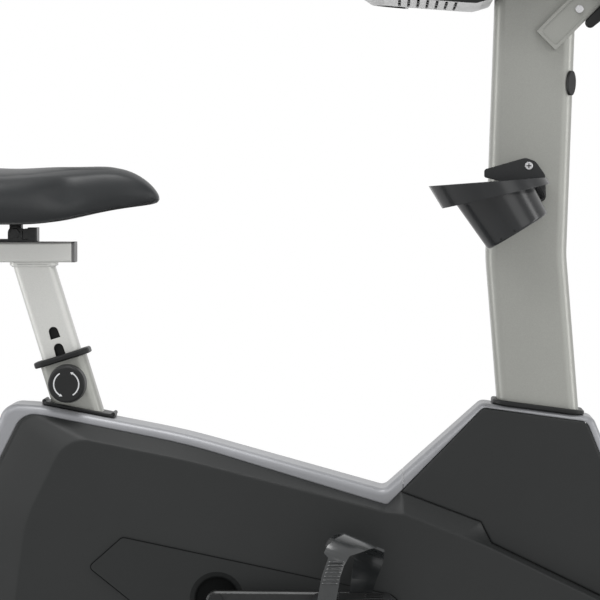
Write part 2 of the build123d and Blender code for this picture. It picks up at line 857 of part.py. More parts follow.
# Carriage that runs in the slide tube and ends in the saddle's clamp bracket
ear_radius = saddle_bottom - saddle_pivot_z - 2
ear_inside = lug_width / 2 + moving_gap
lug_radius = saddle_pivot_z - slide_top - saddle_foot_thick - 2 * moving_gap
with BuildPart() as saddle_carriage:
    with BuildSketch(
        Plane.XY.offset(slide_z - slide_tube_height / 2 + slide_tube_wall + moving_gap)
    ) as runner:
        with Locations((saddle_pivot_x, 0)):
            Rectangle(runner_length, slide_tube_width - 2 * slide_tube_wall - 2 * moving_gap - 2)
    extrude(amount=slide_tube_height - 2 * slide_tube_wall - 2 * moving_gap)
    with BuildSketch(Plane.XY.offset(slide_z)) as neck:
        with Locations((saddle_pivot_x, 0)):
            Rectangle(neck_length - 2 * moving_gap, slide_slot - 4 * moving_gap)
    extrude(amount=slide_tube_height / 2 + 1)
    with BuildSketch(Plane.XY.offset(slide_top + moving_gap)) as saddle_foot:
        with Locations((saddle_pivot_x, 0)):
            RectangleRounded(
                2 * saddle_block_start + saddle_block_length, 2 * ear_inside + 2 * ear_thick, 4
            )
    extrude(amount=saddle_foot_thick)
    block_rear = saddle_pivot_x + saddle_block_start
    block_foot = slide_top + moving_gap
    with BuildSketch(Plane.XY.offset(block_foot)) as saddle_block:
        with Locations((block_rear + saddle_block_length / 2, 0)):
            RectangleRounded(saddle_block_length, 2 * ear_inside + 2 * ear_thick, 2)
    extrude(amount=saddle_bottom - saddle_block_drop - block_foot)
    for side in (1, -1):
        with BuildSketch(Plane.XZ.offset(side * ear_inside)) as ear:
            with Locations((saddle_pivot_x, saddle_pivot_z)):
                Circle(ear_radius)
            with Locations((saddle_pivot_x, (saddle_pivot_z + slide_top + moving_gap) / 2)):
                Rectangle(2 * ear_radius, saddle_pivot_z - slide_top - moving_gap)
        extrude(amount=side * ear_thick)
    with BuildSketch(Plane.XZ.offset(-saddle_width / 4)) as ear_hole:
        with Locations((saddle_pivot_x, saddle_pivot_z)):
            Circle(saddle_bolt_radius + running_gap)
    extrude(amount=saddle_width / 2, mode=Mode.SUBTRACT)
    bolt_half = ear_inside + ear_thick
    with BuildSketch(Plane.XZ.offset(-bolt_half)) as bolt_rod:
        with Locations((saddle_pivot_x, saddle_pivot_z)):
            Circle(saddle_bolt_radius)
    extrude(amount=2 * bolt_half)
    for side in (1, -1):
        with BuildSketch(Plane.XZ.offset(side * bolt_half)) as bolt_head:
            with Locations((saddle_pivot_x, saddle_pivot_z)):
                RegularPolygon(1.7 * saddle_bolt_radius, 6)
        extrude(amount=side * saddle_bolt_radius)
saddle_carriage.part.label = "saddle_carriage"
export_step(saddle_carriage.part, "parts/saddle_carriage.step")

# Saddle: stations from the nose back, each with its place behind the nose, underside, crown
# and half width
saddle_stations = [
    (1, 27, -35.6, 10),
    (10, 25.5, -22.6, 22),
    (26, 23, -10.1, 30),
    (49, 19.8, -1.1, 36),
    (92, 11.5, 0.6, 46),
    (135, 3, 0, 0.31 * saddle_width),
    (182, 0.5, -2, 0.44 * saddle_width),
    (222, 0.5, -0.4, saddle_width / 2),
    (252, 2, -3, 0.47 * saddle_width),
    (saddle_length - 1, 12, -22, 0.36 * saddle_width),
]


def saddle_section(back, low, high, half):
    """One cross section of the cushion: flat underside, bulging sides, crowned top."""
    low_z = saddle_bottom + low
    high_z = saddle_top + high
    rise = high_z - low_z
    with BuildSketch(Plane.YZ.offset(saddle_nose_x - back)) as sketch:
        with BuildLine():
            Line((-0.86 * half, low_z), (0.86 * half, low_z))
            ThreePointArc(
                (0.86 * half, low_z), (half, low_z + 0.42 * rise), (0.78 * half, low_z + 0.84 * rise)
            )
            ThreePointArc(
                (0.78 * half, low_z + 0.84 * rise), (0, high_z), (-0.78 * half, low_z + 0.84 * rise)
            )
            ThreePointArc(
                (-0.78 * half, low_z + 0.84 * rise), (-half, low_z + 0.42 * rise), (-0.86 * half, low_z)
            )
        make_face()
    return sketch.sketch


def pan_body(grow):
    """Sections of the plastic pan sunk in the cushion's underside, or of its recess when grown."""
    sections = []
    for back, low, high, half in saddle_stations[1:-1]:
        if back == saddle_stations[1][0]:
            back = back - grow
        if back == saddle_stations[-2][0]:
            back = back + grow
        with BuildSketch(Plane.YZ.offset(saddle_nose_x - back)) as sketch:
            with Locations((0, saddle_bottom + low + (pan_thick - pan_gap) / 2)):
                Rectangle(1.6 * half + 2 * grow, pan_thick - pan_gap + 2 * grow)
        sections.append(sketch.sketch)
    return sections


with BuildPart() as saddle_cushion:
    loft([saddle_section(*station) for station in saddle_stations])
    loft(pan_body(pan_gap), mode=Mode.SUBTRACT)
saddle_cushion.part.label = "saddle_cushion"
export_step(saddle_cushion.part, "parts/saddle_cushion.step")

with BuildPart() as saddle_pan:
    loft(pan_body(0))
    with BuildSketch(Plane.XZ.offset(-lug_width / 2)) as pan_lug:
        with Locations((saddle_pivot_x, saddle_pivot_z)):
            Circle(lug_radius)
        with Locations((saddle_pivot_x, (saddle_pivot_z + saddle_bottom + pan_thick / 2) / 2)):
            Rectangle(2 * lug_radius, saddle_bottom + pan_thick / 2 - saddle_pivot_z)
    extrude(amount=lug_width)
    with BuildSketch(Plane.XZ.offset(-lug_width)) as lug_hole:
        with Locations((saddle_pivot_x, saddle_pivot_z)):
            Circle(saddle_bolt_radius + running_gap)
    extrude(amount=2 * lug_width, mode=Mode.SUBTRACT)
saddle_pan.part.label = "saddle_pan"
export_step(saddle_pan.part, "parts/saddle_pan.step")

# Pull-pin knob, drawn out of the post: it slides in by its travel to lock
with BuildPart() as seat_knob:
    knob_inner = boss_face + moving_gap + pin_travel
    with BuildSketch(Plane.XZ.offset(knob_inner)) as knob_disc:
        with Locations((pin_point.X, pin_point.Z)):
            Circle(knob_radius)
    extrude(amount=knob_depth, taper=4)
    fillet(faces().sort_by(Axis.Y)[0].edges(), knob_depth / 6)
    pin_tip = seat_post_width / 2 + 2 * moving_gap
    with BuildSketch(Plane.XZ.offset(pin_tip)) as lock_pin:
        with Locations((pin_point.X, pin_point.Z)):
            Circle(pin_radius)
    extrude(amount=knob_inner - pin_tip)
seat_knob.part.label = "seat_knob"
export_step(seat_knob.part, "parts/seat_knob.step")

# Bearings of the crank and of the flywheel axle
bracket_half = 34
bearing_radius = axle_radius + bearing_wall
fly_bearing_radius = flywheel_axle_radius + bearing_wall
plate_inside = flywheel_width / 2 + 8
with BuildPart() as bearings:
    for side in (1, -1):
        crank_seat = side * (bracket_half - bearing_width)
        extrude(cross_face(crank_x, crank_z, crank_seat, bearing_radius), amount=side * bearing_width)
        fly_seat = side * plate_inside
        extrude(
            cross_face(flywheel_x, flywheel_z, fly_seat, fly_bearing_radius),
            amount=side * bearing_width,
        )
    crank_way = axle_radius + running_gap
    extrude(
        cross_face(crank_x, crank_z, -drive_plane, crank_way),
        amount=2 * drive_plane,
        mode=Mode.SUBTRACT,
    )
    fly_way = flywheel_axle_radius + running_gap
    extrude(
        cross_face(flywheel_x, flywheel_z, -drive_plane, fly_way),
        amount=2 * drive_plane,
        mode=Mode.SUBTRACT,
    )
bearings.part.label = "bearings"
export_step(bearings.part, "parts/bearings.step")

# Idler place: outside the belt's lower run, half way along it
belt_inner = moving_gap
belt_outer = moving_gap + belt_thick
axle_gap = hypot(flywheel_x - crank_x, flywheel_z - crank_z)
axle_angle = atan2(flywheel_z - crank_z, flywheel_x - crank_x)
run_angle = axle_angle - acos((pulley_radius - small_pulley_radius) / axle_gap)
run_reach = (pulley_radius + small_pulley_radius) / 2 + belt_outer + moving_gap + idler_radius
idler_x = (crank_x + flywheel_x) / 2 + run_reach * cos(run_angle)
idler_z = (crank_z + flywheel_z) / 2 + run_reach * sin(run_angle)

# Magnet arm pivot above the flywheel
shoe_inner = flywheel_radius + magnet_gap + magnet_thick
pivot_reach = shoe_inner + magnet_arm_thick / 2
pivot_angle = 60
arm_sweep = 65
brake_x = flywheel_x + pivot_reach * cos(radians(pivot_angle))
brake_z = flywheel_z + pivot_reach * sin(radians(pivot_angle))

# Drive frame on the rail: bottom-bracket post, flywheel plates, idler arm
with BuildPart() as drive_frame:
    with BuildSketch(Plane.XY.offset(rail_top)) as bracket_post:
        with Locations((crank_x + bracket_post_shift, 0)):
            RectangleRounded(bracket_post_depth, bracket_post_width, 6)
            RectangleRounded(bracket_post_depth - 6, bracket_post_width - 6, 3, mode=Mode.SUBTRACT)
    extrude(amount=crank_z - rail_top)
    extrude(cross_face(crank_x, crank_z, -bracket_half, bearing_radius + 6), amount=2 * bracket_half)
    for side in (1, -1):
        with BuildSketch(Plane.XZ.offset(side * plate_inside)) as fly_plate:
            with Locations((flywheel_x, flywheel_z)):
                Circle(fly_bearing_radius + 8)
            with Locations((brake_x, brake_z)):
                Circle(2.4 * brake_pin_radius)
            make_hull()
            with Locations((flywheel_x, (flywheel_z + rail_top) / 2)):
                Rectangle(2 * fly_bearing_radius, flywheel_z - rail_top)
        extrude(amount=side * fly_plate_thick)
        extrude(
            cross_face(flywheel_x, flywheel_z, side * plate_inside, fly_bearing_radius + 6),
            amount=side * bearing_width,
        )
    with BuildSketch(Plane.XZ.offset(bracket_half)) as idler_arm:
        with Locations((idler_x, idler_z)):
            Circle(3 * idler_pin_radius)
        with Locations((idler_x, (idler_z + rail_top) / 2)):
            Rectangle(5 * idler_pin_radius, idler_z - rail_top)
    extrude(amount=idler_arm_thick)
    extrude(
        cross_face(idler_x, idler_z, bracket_half, idler_pin_radius),
        amount=drive_plane + pulley_width / 2 - bracket_half,
    )
    bore = bearing_radius + running_gap
    extrude(
        cross_face(crank_x, crank_z, -bracket_half, bore), amount=2 * bracket_half, mode=Mode.SUBTRACT
    )
    fly_bore = fly_bearing_radius + running_gap
    extrude(
        cross_face(flywheel_x, flywheel_z, -drive_plane, fly_bore),
        amount=2 * drive_plane,
        mode=Mode.SUBTRACT,
    )
    extrude(cross_face(brake_x, brake_z, -plate_inside, brake_pin_radius), amount=2 * plate_inside)
drive_frame.part.label = "drive_frame"
export_step(drive_frame.part, "parts/drive_frame.step")

# Crank: axle, drive pulley, arms and end caps
with BuildPart() as crank_axle:
    extrude(cross_face(crank_x, crank_z, -crank_inside, axle_radius), amount=2 * crank_inside)
    neck_half = crank_inside + 0.7 * crank_thick
    extrude(cross_face(crank_x, crank_z, -neck_half, axle_neck), amount=2 * neck_half)
crank_axle.part.label = "crank_axle"
export_step(crank_axle.part, "parts/crank_axle.step")

pulley_face = drive_plane - pulley_width / 2
with BuildPart() as drive_pulley:
    extrude(cross_face(crank_x, crank_z, pulley_face, pulley_radius), amount=pulley_width)
    for face_y, inward in ((pulley_face, 1), (pulley_face + pulley_width, -1)):
        with BuildSketch(Plane.XZ.offset(face_y)) as pulley_recess:
            with Locations((crank_x, crank_z)):
                Circle(0.86 * pulley_radius)
                Circle(2.2 * axle_radius, mode=Mode.SUBTRACT)
        extrude(amount=inward * pulley_width / 3, mode=Mode.SUBTRACT)
    with BuildSketch(Plane.XZ.offset(pulley_face)) as pulley_holes:
        with Locations((crank_x, crank_z)):
            with PolarLocations(0.54 * pulley_radius, 5):
                Circle(0.17 * pulley_radius)
            Circle(axle_radius + running_gap)
    extrude(amount=pulley_width, mode=Mode.SUBTRACT)
drive_pulley.part.label = "drive_pulley"
export_step(drive_pulley.part, "parts/drive_pulley.step")

for name, side, forward in (("right_crank_arm", 1, 1), ("left_crank_arm", -1, -1)):
    with BuildPart() as crank_arm:
        with BuildSketch(Plane.XZ.offset(side * crank_inside)) as arm_side:
            with Locations((crank_x, crank_z)):
                Circle(crank_hub_radius)
            with Locations((crank_x + forward * crank_length, crank_z)):
                Circle(crank_end_radius)
            make_hull()
        extrude(amount=side * crank_thick)
        chamfer(faces().sort_by(Axis.Y)[0 if side > 0 else -1].edges(), crank_thick / 6)
        arm_way = side * crank_thick
        extrude(
            cross_face(crank_x, crank_z, side * crank_inside, axle_neck + running_gap),
            amount=arm_way,
            mode=Mode.SUBTRACT,
        )
        pedal_x = crank_x + forward * crank_length
        extrude(
            cross_face(pedal_x, crank_z, side * crank_inside, pedal_spindle_radius + running_gap),
            amount=arm_way,
            mode=Mode.SUBTRACT,
        )
    crank_arm.part.label = name
    export_step(crank_arm.part, f"parts/{name}.step")

with BuildPart() as crank_caps:
    for side in (1, -1):
        cap_y = side * (crank_inside + crank_thick)
        extrude(cross_face(crank_x, crank_z, cap_y, 0.8 * crank_hub_radius), amount=side * 2, taper=20)
        extrude(
            cross_face(crank_x, crank_z, cap_y, axle_neck - seat_gap), amount=-side * 0.25 * crank_thick
        )
crank_caps.part.label = "crank_caps"
export_step(crank_caps.part, "parts/crank_caps.step")

# Pedals on spindles, with moulded rubber straps
spindle_start = crank_inside + 1
pedal_inside = crank_inside + crank_thick + pedal_gap
pedal_middle = pedal_inside + pedal_width / 2
right_pedal_x = crank_x + crank_length
with BuildPart() as pedal_spindles:
    for side, forward in ((1, 1), (-1, -1)):
        rod_length = pedal_inside + pedal_width - 4 - spindle_start
        rod_x = crank_x + forward * crank_length
        extrude(
            cross_face(rod_x, crank_z, side * spindle_start, pedal_spindle_radius),
            amount=side * rod_length,
        )
pedal_spindles.part.label = "pedal_spindles"
export_step(pedal_spindles.part, "parts/pedal_spindles.step")

with BuildPart() as right_pedal:
    with BuildSketch(Plane.XY.offset(crank_z - pedal_height / 2)) as pedal_plan:
        with Locations((right_pedal_x, -pedal_middle)):
            RectangleRounded(pedal_length, pedal_width, pedal_height / 2)
    extrude(amount=pedal_height)
    chamfer(faces().filter_by(Plane.XY).edges(), 2)
    with BuildSketch(Plane.XY.offset(crank_z - pedal_height / 2)) as pedal_windows:
        with Locations((right_pedal_x, -pedal_middle)):
            with GridLocations(0.55 * pedal_length, 0.28 * pedal_width, 2, 3):
                RectangleRounded(0.24 * pedal_length, 0.22 * pedal_width, 4)
    extrude(amount=pedal_height, mode=Mode.SUBTRACT)
    extrude(
        cross_face(right_pedal_x, crank_z, pedal_inside, pedal_spindle_radius + running_gap),
        amount=pedal_width - 3,
        mode=Mode.SUBTRACT,
    )
right_pedal.part.label = "right_pedal"
export_step(right_pedal.part, "parts/right_pedal.step")

with BuildPart() as left_pedal:
    mirror(right_pedal.part, about=Plane.XZ)
left_pedal.part.position = (-2 * crank_length, 0, 0)
left_pedal.part.label = "left_pedal"
export_step(left_pedal.part, "parts/left_pedal.step")

# Strap: an arch across the foot, falling towards the toe, trimmed to its outer and inner leg
strap_inner = pedal_width / 2 + seat_gap
strap_fall = radians(strap_slope)
strap_plane = Plane(
    origin=(right_pedal_x - 8, -pedal_middle, crank_z),
    x_dir=(0, 1, 0),
    z_dir=(cos(strap_fall), 0, -sin(strap_fall)),
)


def arch_face(half, top):
    """A vertical-sided arch standing on the pedal."""
    spring = top - 0.9 * half
    with BuildSketch(strap_plane.offset(-pedal_length)) as sketch:
        with BuildLine():
            Polyline((half, spring), (half, -pedal_length), (-half, -pedal_length), (-half, spring))
            ThreePointArc((-half, spring), (0, top), (half, spring))
        make_face()
    return sketch.sketch


leg_low = crank_z - pedal_height / 2
pad_points = [
    (right_pedal_x - 33.5, crank_z + 71),
    (right_pedal_x - 29.5, crank_z + 79),
    (right_pedal_x - 20.5, crank_z + 86.5),
    (right_pedal_x - 6, crank_z + strap_rise + 11),
    (right_pedal_x + 41, crank_z + strap_rise),
]
pad_radii = [1.5, 12, 12, 4, 1]
outer_leg = [
    (right_pedal_x - 46, leg_low),
    (right_pedal_x - 36, crank_z + 43),
    (right_pedal_x - 28, crank_z + 65),
    *pad_points,
    (right_pedal_x + 41, crank_z + 75),
    (right_pedal_x + 23, crank_z + 73.3),
    (right_pedal_x - 2, crank_z + 66.8),
    (right_pedal_x - 9, crank_z + 55.5),
    (right_pedal_x - 13, crank_z + 43),
    (right_pedal_x - 23, leg_low),
]
outer_leg_radii = [1, 20, 1, *pad_radii, 1, 12, 4, 12, 20, 1]
inner_leg = [
    (right_pedal_x - 6, leg_low),
    (right_pedal_x - 1, crank_z + 30),
    (right_pedal_x + 3, crank_z + 57),
    (right_pedal_x - 27, crank_z + 64),
    *pad_points,
    (right_pedal_x + 38.5, crank_z + 50),
    (right_pedal_x + 31.5, crank_z + 31.5),
    (right_pedal_x + 17, leg_low),
]
inner_leg_radii = [1, 20, 3, 1, *pad_radii, 20, 20, 1]
with BuildPart() as right_strap:
    extrude(side_face(outer_leg, outer_leg_radii, pedal_middle), amount=pedal_width)
    extrude(side_face(inner_leg, inner_leg_radii, pedal_middle), amount=-pedal_width)
    extrude(
        arch_face(strap_inner + strap_thick, strap_rise + strap_thick),
        amount=2 * pedal_length,
        mode=Mode.INTERSECT,
    )
    extrude(arch_face(strap_inner, strap_rise), amount=2 * pedal_length, mode=Mode.SUBTRACT)
    spindle_way = pedal_spindle_radius + moving_gap
    extrude(
        cross_face(right_pedal_x, crank_z, spindle_start, spindle_way),
        amount=pedal_width / 2,
        mode=Mode.SUBTRACT,
    )
right_strap.part.label = "right_strap"
export_step(right_strap.part, "parts/right_strap.step")

with BuildPart() as left_strap:
    mirror(right_strap.part, about=Plane.XZ)
left_strap.part.position = (-2 * crank_length, 0, 0)
left_strap.part.label = "left_strap"
export_step(left_strap.part, "parts/left_strap.step")

# Belt round both pulleys, with the idler under its lower run


def belt_face(clearance, y):
    """The belt's loop, grown by a clearance."""
    with BuildSketch(Plane.XZ.offset(y)) as sketch:
        with Locations((crank_x, crank_z)):
            Circle(pulley_radius + clearance)
        with Locations((flywheel_x, flywheel_z)):
            Circle(small_pulley_radius + clearance)
        make_hull()
    return sketch.sketch


with BuildPart() as drive_belt:
    belt_face_y = drive_plane - belt_width / 2
    extrude(belt_face(belt_outer, belt_face_y), amount=belt_width)
    extrude(belt_face(belt_inner, belt_face_y), amount=belt_width, mode=Mode.SUBTRACT)
drive_belt.part.label = "drive_belt"
export_step(drive_belt.part, "parts/drive_belt.step")

idler_width = drive_plane + pulley_width / 2 - bracket_half - idler_arm_thick - 2 * moving_gap
with BuildPart() as idler_roller:
    roller_y = bracket_half + idler_arm_thick + moving_gap
    extrude(cross_face(idler_x, idler_z, roller_y, idler_radius), amount=idler_width)
    extrude(
        cross_face(idler_x, idler_z, roller_y, idler_pin_radius + running_gap),
        amount=idler_width,
        mode=Mode.SUBTRACT,
    )
idler_roller.part.label = "idler_roller"
export_step(idler_roller.part, "parts/idler_roller.step")

# Flywheel, and its axle turned with the small pulley
with BuildPart() as flywheel:
    rim_y = flywheel_width / 2
    extrude(cross_face(flywheel_x, flywheel_z, -rim_y, flywheel_radius), amount=flywheel_width)
    for face_y, inward in ((-rim_y, 1), (rim_y, -1)):
        with BuildSketch(Plane.XZ.offset(face_y)) as flywheel_recess:
            with Locations((flywheel_x, flywheel_z)):
                Circle(0.78 * flywheel_radius)
                Circle(2.6 * flywheel_axle_radius, mode=Mode.SUBTRACT)
        extrude(amount=inward * flywheel_width / 3, mode=Mode.SUBTRACT)
    extrude(
        cross_face(flywheel_x, flywheel_z, -rim_y, flywheel_axle_radius + running_gap),
        amount=flywheel_width,
        mode=Mode.SUBTRACT,
    )
flywheel.part.label = "flywheel"
export_step(flywheel.part, "parts/flywheel.step")

with BuildPart() as flywheel_axle:
    axle_left = plate_inside + bearing_width + 2
    axle_right = drive_plane + pulley_width / 2
    extrude(
        cross_face(flywheel_x, flywheel_z, -axle_left, flywheel_axle_radius),
        amount=axle_left + axle_right,
    )
    extrude(cross_face(flywheel_x, flywheel_z, pulley_face, small_pulley_radius), amount=pulley_width)
flywheel_axle.part.label = "flywheel_axle"
export_step(flywheel_axle.part, "parts/flywheel_axle.step")

# Magnet brake: a hinged shoe over the flywheel's rim


def shoe_face(inner, outer, start, sweep, y):
    """A sector of a ring round the flywheel."""
    middle = (flywheel_x, flywheel_z)
    with BuildSketch(Plane.XZ.offset(y)) as sketch:
        with BuildLine():
            inside = CenterArc(middle, inner, start, sweep)
            outside = CenterArc(middle, outer, start, sweep)
            Line(inside @ 0, outside @ 0)
            Line(inside @ 1, outside @ 1)
        make_face()
    return sketch.sketch


arm_half = flywheel_width / 2 - 2
with BuildPart() as magnet_arm:
    shoe_outer = shoe_inner + magnet_arm_thick
    extrude(shoe_face(shoe_inner, shoe_outer, pivot_angle, arm_sweep, -arm_half), amount=2 * arm_half)
    extrude(
        cross_face(brake_x, brake_z, moving_gap - plate_inside, 2 * brake_pin_radius),
        amount=2 * (plate_inside - moving_gap),
    )
    extrude(
        cross_face(brake_x, brake_z, -plate_inside, brake_pin_radius + running_gap),
        amount=2 * plate_inside,
        mode=Mode.SUBTRACT,
    )
    magnet_outer = shoe_inner - seat_gap / 2
    for start in (pivot_angle + 12, pivot_angle + 30, pivot_angle + 48):
        extrude(
            shoe_face(flywheel_radius + magnet_gap, magnet_outer, start, 13, -arm_half),
            amount=2 * arm_half,
        )
magnet_arm.part.label = "magnet_arm"
export_step(magnet_arm.part, "parts/magnet_arm.step")

with BuildPart() as brake_motor:
    with BuildSketch(mast_plane.offset(brake_motor_rise)) as motor_case:
        with Locations((-mast_depth / 2 - seat_gap - brake_motor_depth / 2, 0)):
            RectangleRounded(brake_motor_depth, brake_motor_width, 5)
    extrude(amount=brake_motor_height)
brake_motor.part.label = "brake_motor"
export_step(brake_motor.part, "parts/brake_motor.step")

# Mast: a bent rectangular tube on a bolted foot plate
mast_start = mast_plane.origin
mast_lean = (mast_top - mast_bend).normalized()
with BuildPart() as mast:
    with BuildLine() as mast_path:
        FilletPolyline(
            mast_start, mast_bend, mast_top + mast_lean * mast_round, radius=mast_bend_radius
        )
    sweep(
        rounded_tube(mast_plane, mast_depth, mast_width, mast_round, mast_wall), path=mast_path.wire()
    )
    split(bisect_by=Plane.XY.offset(mast_foot_z), keep=Keep.TOP)
    split(bisect_by=Plane.XY.offset(mast_top_z), keep=Keep.BOTTOM)
    with BuildSketch(Plane.XY.offset(rail_top)) as mast_plate:
        with Locations((mast_foot_x, 0)):
            RectangleRounded(mast_depth + 4 * mast_bolt_inset, rail_width - 2, 6)
    extrude(amount=mast_foot_thick)
mast.part.label = "mast"
export_step(mast.part, "parts/mast.step")

# Gasket on the front trim and oval plug on the mast's front corner
gasket_run = (outer_points[7][0] - outer_points[6][0], outer_points[7][1] - outer_points[6][1])
gasket_angle = atan2(gasket_run[1], gasket_run[0])
gasket_x = mast_foot_x + (outer_points[6][1] - mast_foot_z) * mast_up.X / mast_up.Z
gasket_z = outer_points[6][1] + (gasket_x - outer_points[6][0]) * tan(gasket_angle)
gasket_plane = Plane(
    origin=(gasket_x, 0, gasket_z),
    x_dir=(cos(gasket_angle), 0, sin(gasket_angle)),
    z_dir=(-sin(gasket_angle), 0, cos(gasket_angle)),
)
plug_point = mast_bend + mast_lean * ((plug_z - mast_bend_z) / mast_lean.Z)
corner_shift = mast_round * (1 - sin(radians(45)))
plug_plane = Plane(
    origin=(plug_point.X + mast_depth / 2 - corner_shift, corner_shift - mast_width / 2, plug_z),
    x_dir=(mast_lean.X, 0, mast_lean.Z),
    z_dir=(mast_lean.Z, -1, -mast_lean.X),
)
with BuildPart() as mast_seals:
    with BuildSketch(gasket_plane.offset(seat_gap)) as gasket_face:
        RectangleRounded(
            mast_depth + 2 * gasket_margin,
            mast_width + 2 * gasket_margin,
            mast_round + gasket_margin / 2,
        )
    extrude(amount=gasket_height)
    fillet(faces().sort_by(Axis.Z)[-1].edges(), gasket_height / 3)
    with BuildSketch(mast_plane) as gasket_hole:
        RectangleRounded(mast_depth + 2 * seat_gap, mast_width + 2 * seat_gap, mast_round)
    extrude(amount=mast_bend_z - mast_foot_z, mode=Mode.SUBTRACT)
    with BuildSketch(plug_plane.offset(seat_gap)) as plug_face:
        Ellipse(plug_height / 2, plug_width / 2)
    extrude(amount=plug_thick)
mast_seals.part.label = "mast_seals"
export_step(mast_seals.part, "parts/mast_seals.step")

# Handlebar bracket: two slanted arms on the mast's sides, ending in rings round the bar
arm_low_x = handlebar_x - arm_reach
arm_low_z = handlebar_z - arm_reach
lever_x = handlebar_x + lever_offset
lever_z = handlebar_z - lever_offset / 4
arm_start = mast_width / 2 + seat_gap
arm_end = arm_start + arm_thick
with BuildPart() as handlebar_bracket:
    for side in (1, -1):
        with BuildSketch(Plane.XZ.offset(side * arm_start)) as bracket_arm:
            with Locations((handlebar_x, handlebar_z)):
                Circle(handlebar_radius + 8)
            with Locations((lever_x, lever_z)):
                Circle(2.5 * lever_pin_radius)
            make_hull()
            with Locations(Location((handlebar_x - arm_reach / 2, handlebar_z - arm_reach / 2), 45)):
                Rectangle(arm_reach * 1.414, arm_width)
        extrude(amount=side * arm_thick)
        with BuildSketch(Plane.XZ.offset(side * arm_end)) as arm_recess:
            with Locations(Location((handlebar_x - arm_reach / 2, handlebar_z - arm_reach / 2), 45)):
                RectangleRounded(arm_reach * 1.414 - 2 * arm_rim, arm_width - 2 * arm_rim, arm_rim)
            with Locations((handlebar_x, handlebar_z)):
                Circle(handlebar_radius + 8, mode=Mode.SUBTRACT)
        extrude(amount=-side * arm_pocket, mode=Mode.SUBTRACT)
    bar_bore = handlebar_radius + running_gap
    extrude(
        cross_face(handlebar_x, handlebar_z, -arm_end, bar_bore), amount=2 * arm_end, mode=Mode.SUBTRACT
    )
    extrude(
        cross_face(lever_x, lever_z, 0, lever_pin_radius + running_gap),
        amount=arm_end,
        mode=Mode.SUBTRACT,
    )
handlebar_bracket.part.label = "handlebar_bracket"
export_step(handlebar_bracket.part, "parts/handlebar_bracket.step")

with BuildPart() as clamp_lever:
    lever_y = arm_end + moving_gap
    with BuildSketch(Plane.XZ.offset(lever_y)) as lever_side:
        with Locations((lever_x, lever_z)):
            Circle(2.5 * lever_pin_radius)
        with Locations((lever_x - lever_reach, lever_z - 0.9 * lever_reach)):
            Circle(1.6 * lever_pin_radius)
        make_hull()
    extrude(amount=lever_thick)
    chamfer(faces().sort_by(Axis.Y)[0].edges(), lever_thick / 4)
    extrude(cross_face(lever_x, lever_z, arm_start, lever_pin_radius), amount=lever_y - arm_start)
clamp_lever.part.label = "clamp_lever"
export_step(clamp_lever.part, "parts/clamp_lever.step")

# Handlebar: one tube with a bend at each side, foam grips on its two ends
bar_half = [
    Vector(handlebar_x, bar_straight, handlebar_z),
    Vector(handlebar_x - 0.5 * bar_reach, bar_spread, handlebar_z + 0.5 * bar_rise),
    Vector(handlebar_x - bar_reach, bar_spread - 8, handlebar_z + bar_rise),
]
bar_points = [Vector(point.X, -point.Y, point.Z) for point in reversed(bar_half)] + bar_half
with BuildPart() as handlebar:
    with BuildLine() as bar_path:
        FilletPolyline(*bar_points, radius=bar_bend_radius)
    bar_line = bar_path.wire()
    with BuildSketch(Plane(origin=bar_line @ 0, z_dir=bar_line % 0)) as bar_section:
        Circle(handlebar_radius)
        Circle(handlebar_radius - handlebar_wall, mode=Mode.SUBTRACT)
    sweep(path=bar_line)
handlebar.part.label = "handlebar"
export_step(handlebar.part, "parts/handlebar.step")

grip_run = bar_half[2] - bar_half[1]
with BuildPart() as grips:
    for side in (1, -1):
        grip_end = Vector(bar_half[2].X, side * bar_half[2].Y, bar_half[2].Z)
        grip_way = Vector(grip_run.X, side * grip_run.Y, grip_run.Z).normalized()
        grip_plane = Plane(origin=grip_end, z_dir=grip_way)
        with BuildSketch(grip_plane) as grip_end_cap:
            Circle(handlebar_radius + grip_thick)
        extrude(amount=grip_thick)
        fillet(faces().filter_by(grip_plane).sort_by(Axis.X)[0].edges(), grip_thick / 2)
        with BuildSketch(grip_plane) as grip_section:
            Circle(handlebar_radius + grip_thick)
            Circle(handlebar_radius + running_gap, mode=Mode.SUBTRACT)
        extrude(amount=-grip_length)
grips.part.label = "grips"
export_step(grips.part, "parts/grips.step")

# Bottle holder: a tapered cup with a wide oblique lip, on a bracket screwed to the mast
cup_sine, cup_cosine = sin(radians(cup_tilt)), cos(radians(cup_tilt))
cup_y = mast_width / 2 + bracket_thick + seat_gap + collar_lip_radius + cup_stand_off
cup_plane = Plane(
    origin=(cup_x, -cup_y, cup_z), x_dir=(cup_cosine, 0, cup_sine), z_dir=(-cup_sine, 0, cup_cosine)
)
rim_mid = cup_plane.from_local_coords((0, 0, cup_rim_along))


def slanted_plane(angle, drop):
    """A cutting plane through the middle of the cup's rim, tipped in the side view."""
    slope = radians(angle)
    origin = (rim_mid.X, rim_mid.Y, rim_mid.Z - drop)
    return Plane(origin=origin, x_dir=(cos(slope), 0, sin(slope)), z_dir=(-sin(slope), 0, cos(slope)))


lip_cut = slanted_plane(rim_slope, 0)
with BuildPart() as cup_lip:
    with BuildSketch(cup_plane) as lip_disc:
        Circle(collar_lip_radius)
    extrude(amount=2 * cup_rim_along)
    split(bisect_by=lip_cut, keep=Keep.BOTTOM)
    split(bisect_by=slanted_plane(lip_slope, lip_drop), keep=Keep.TOP)

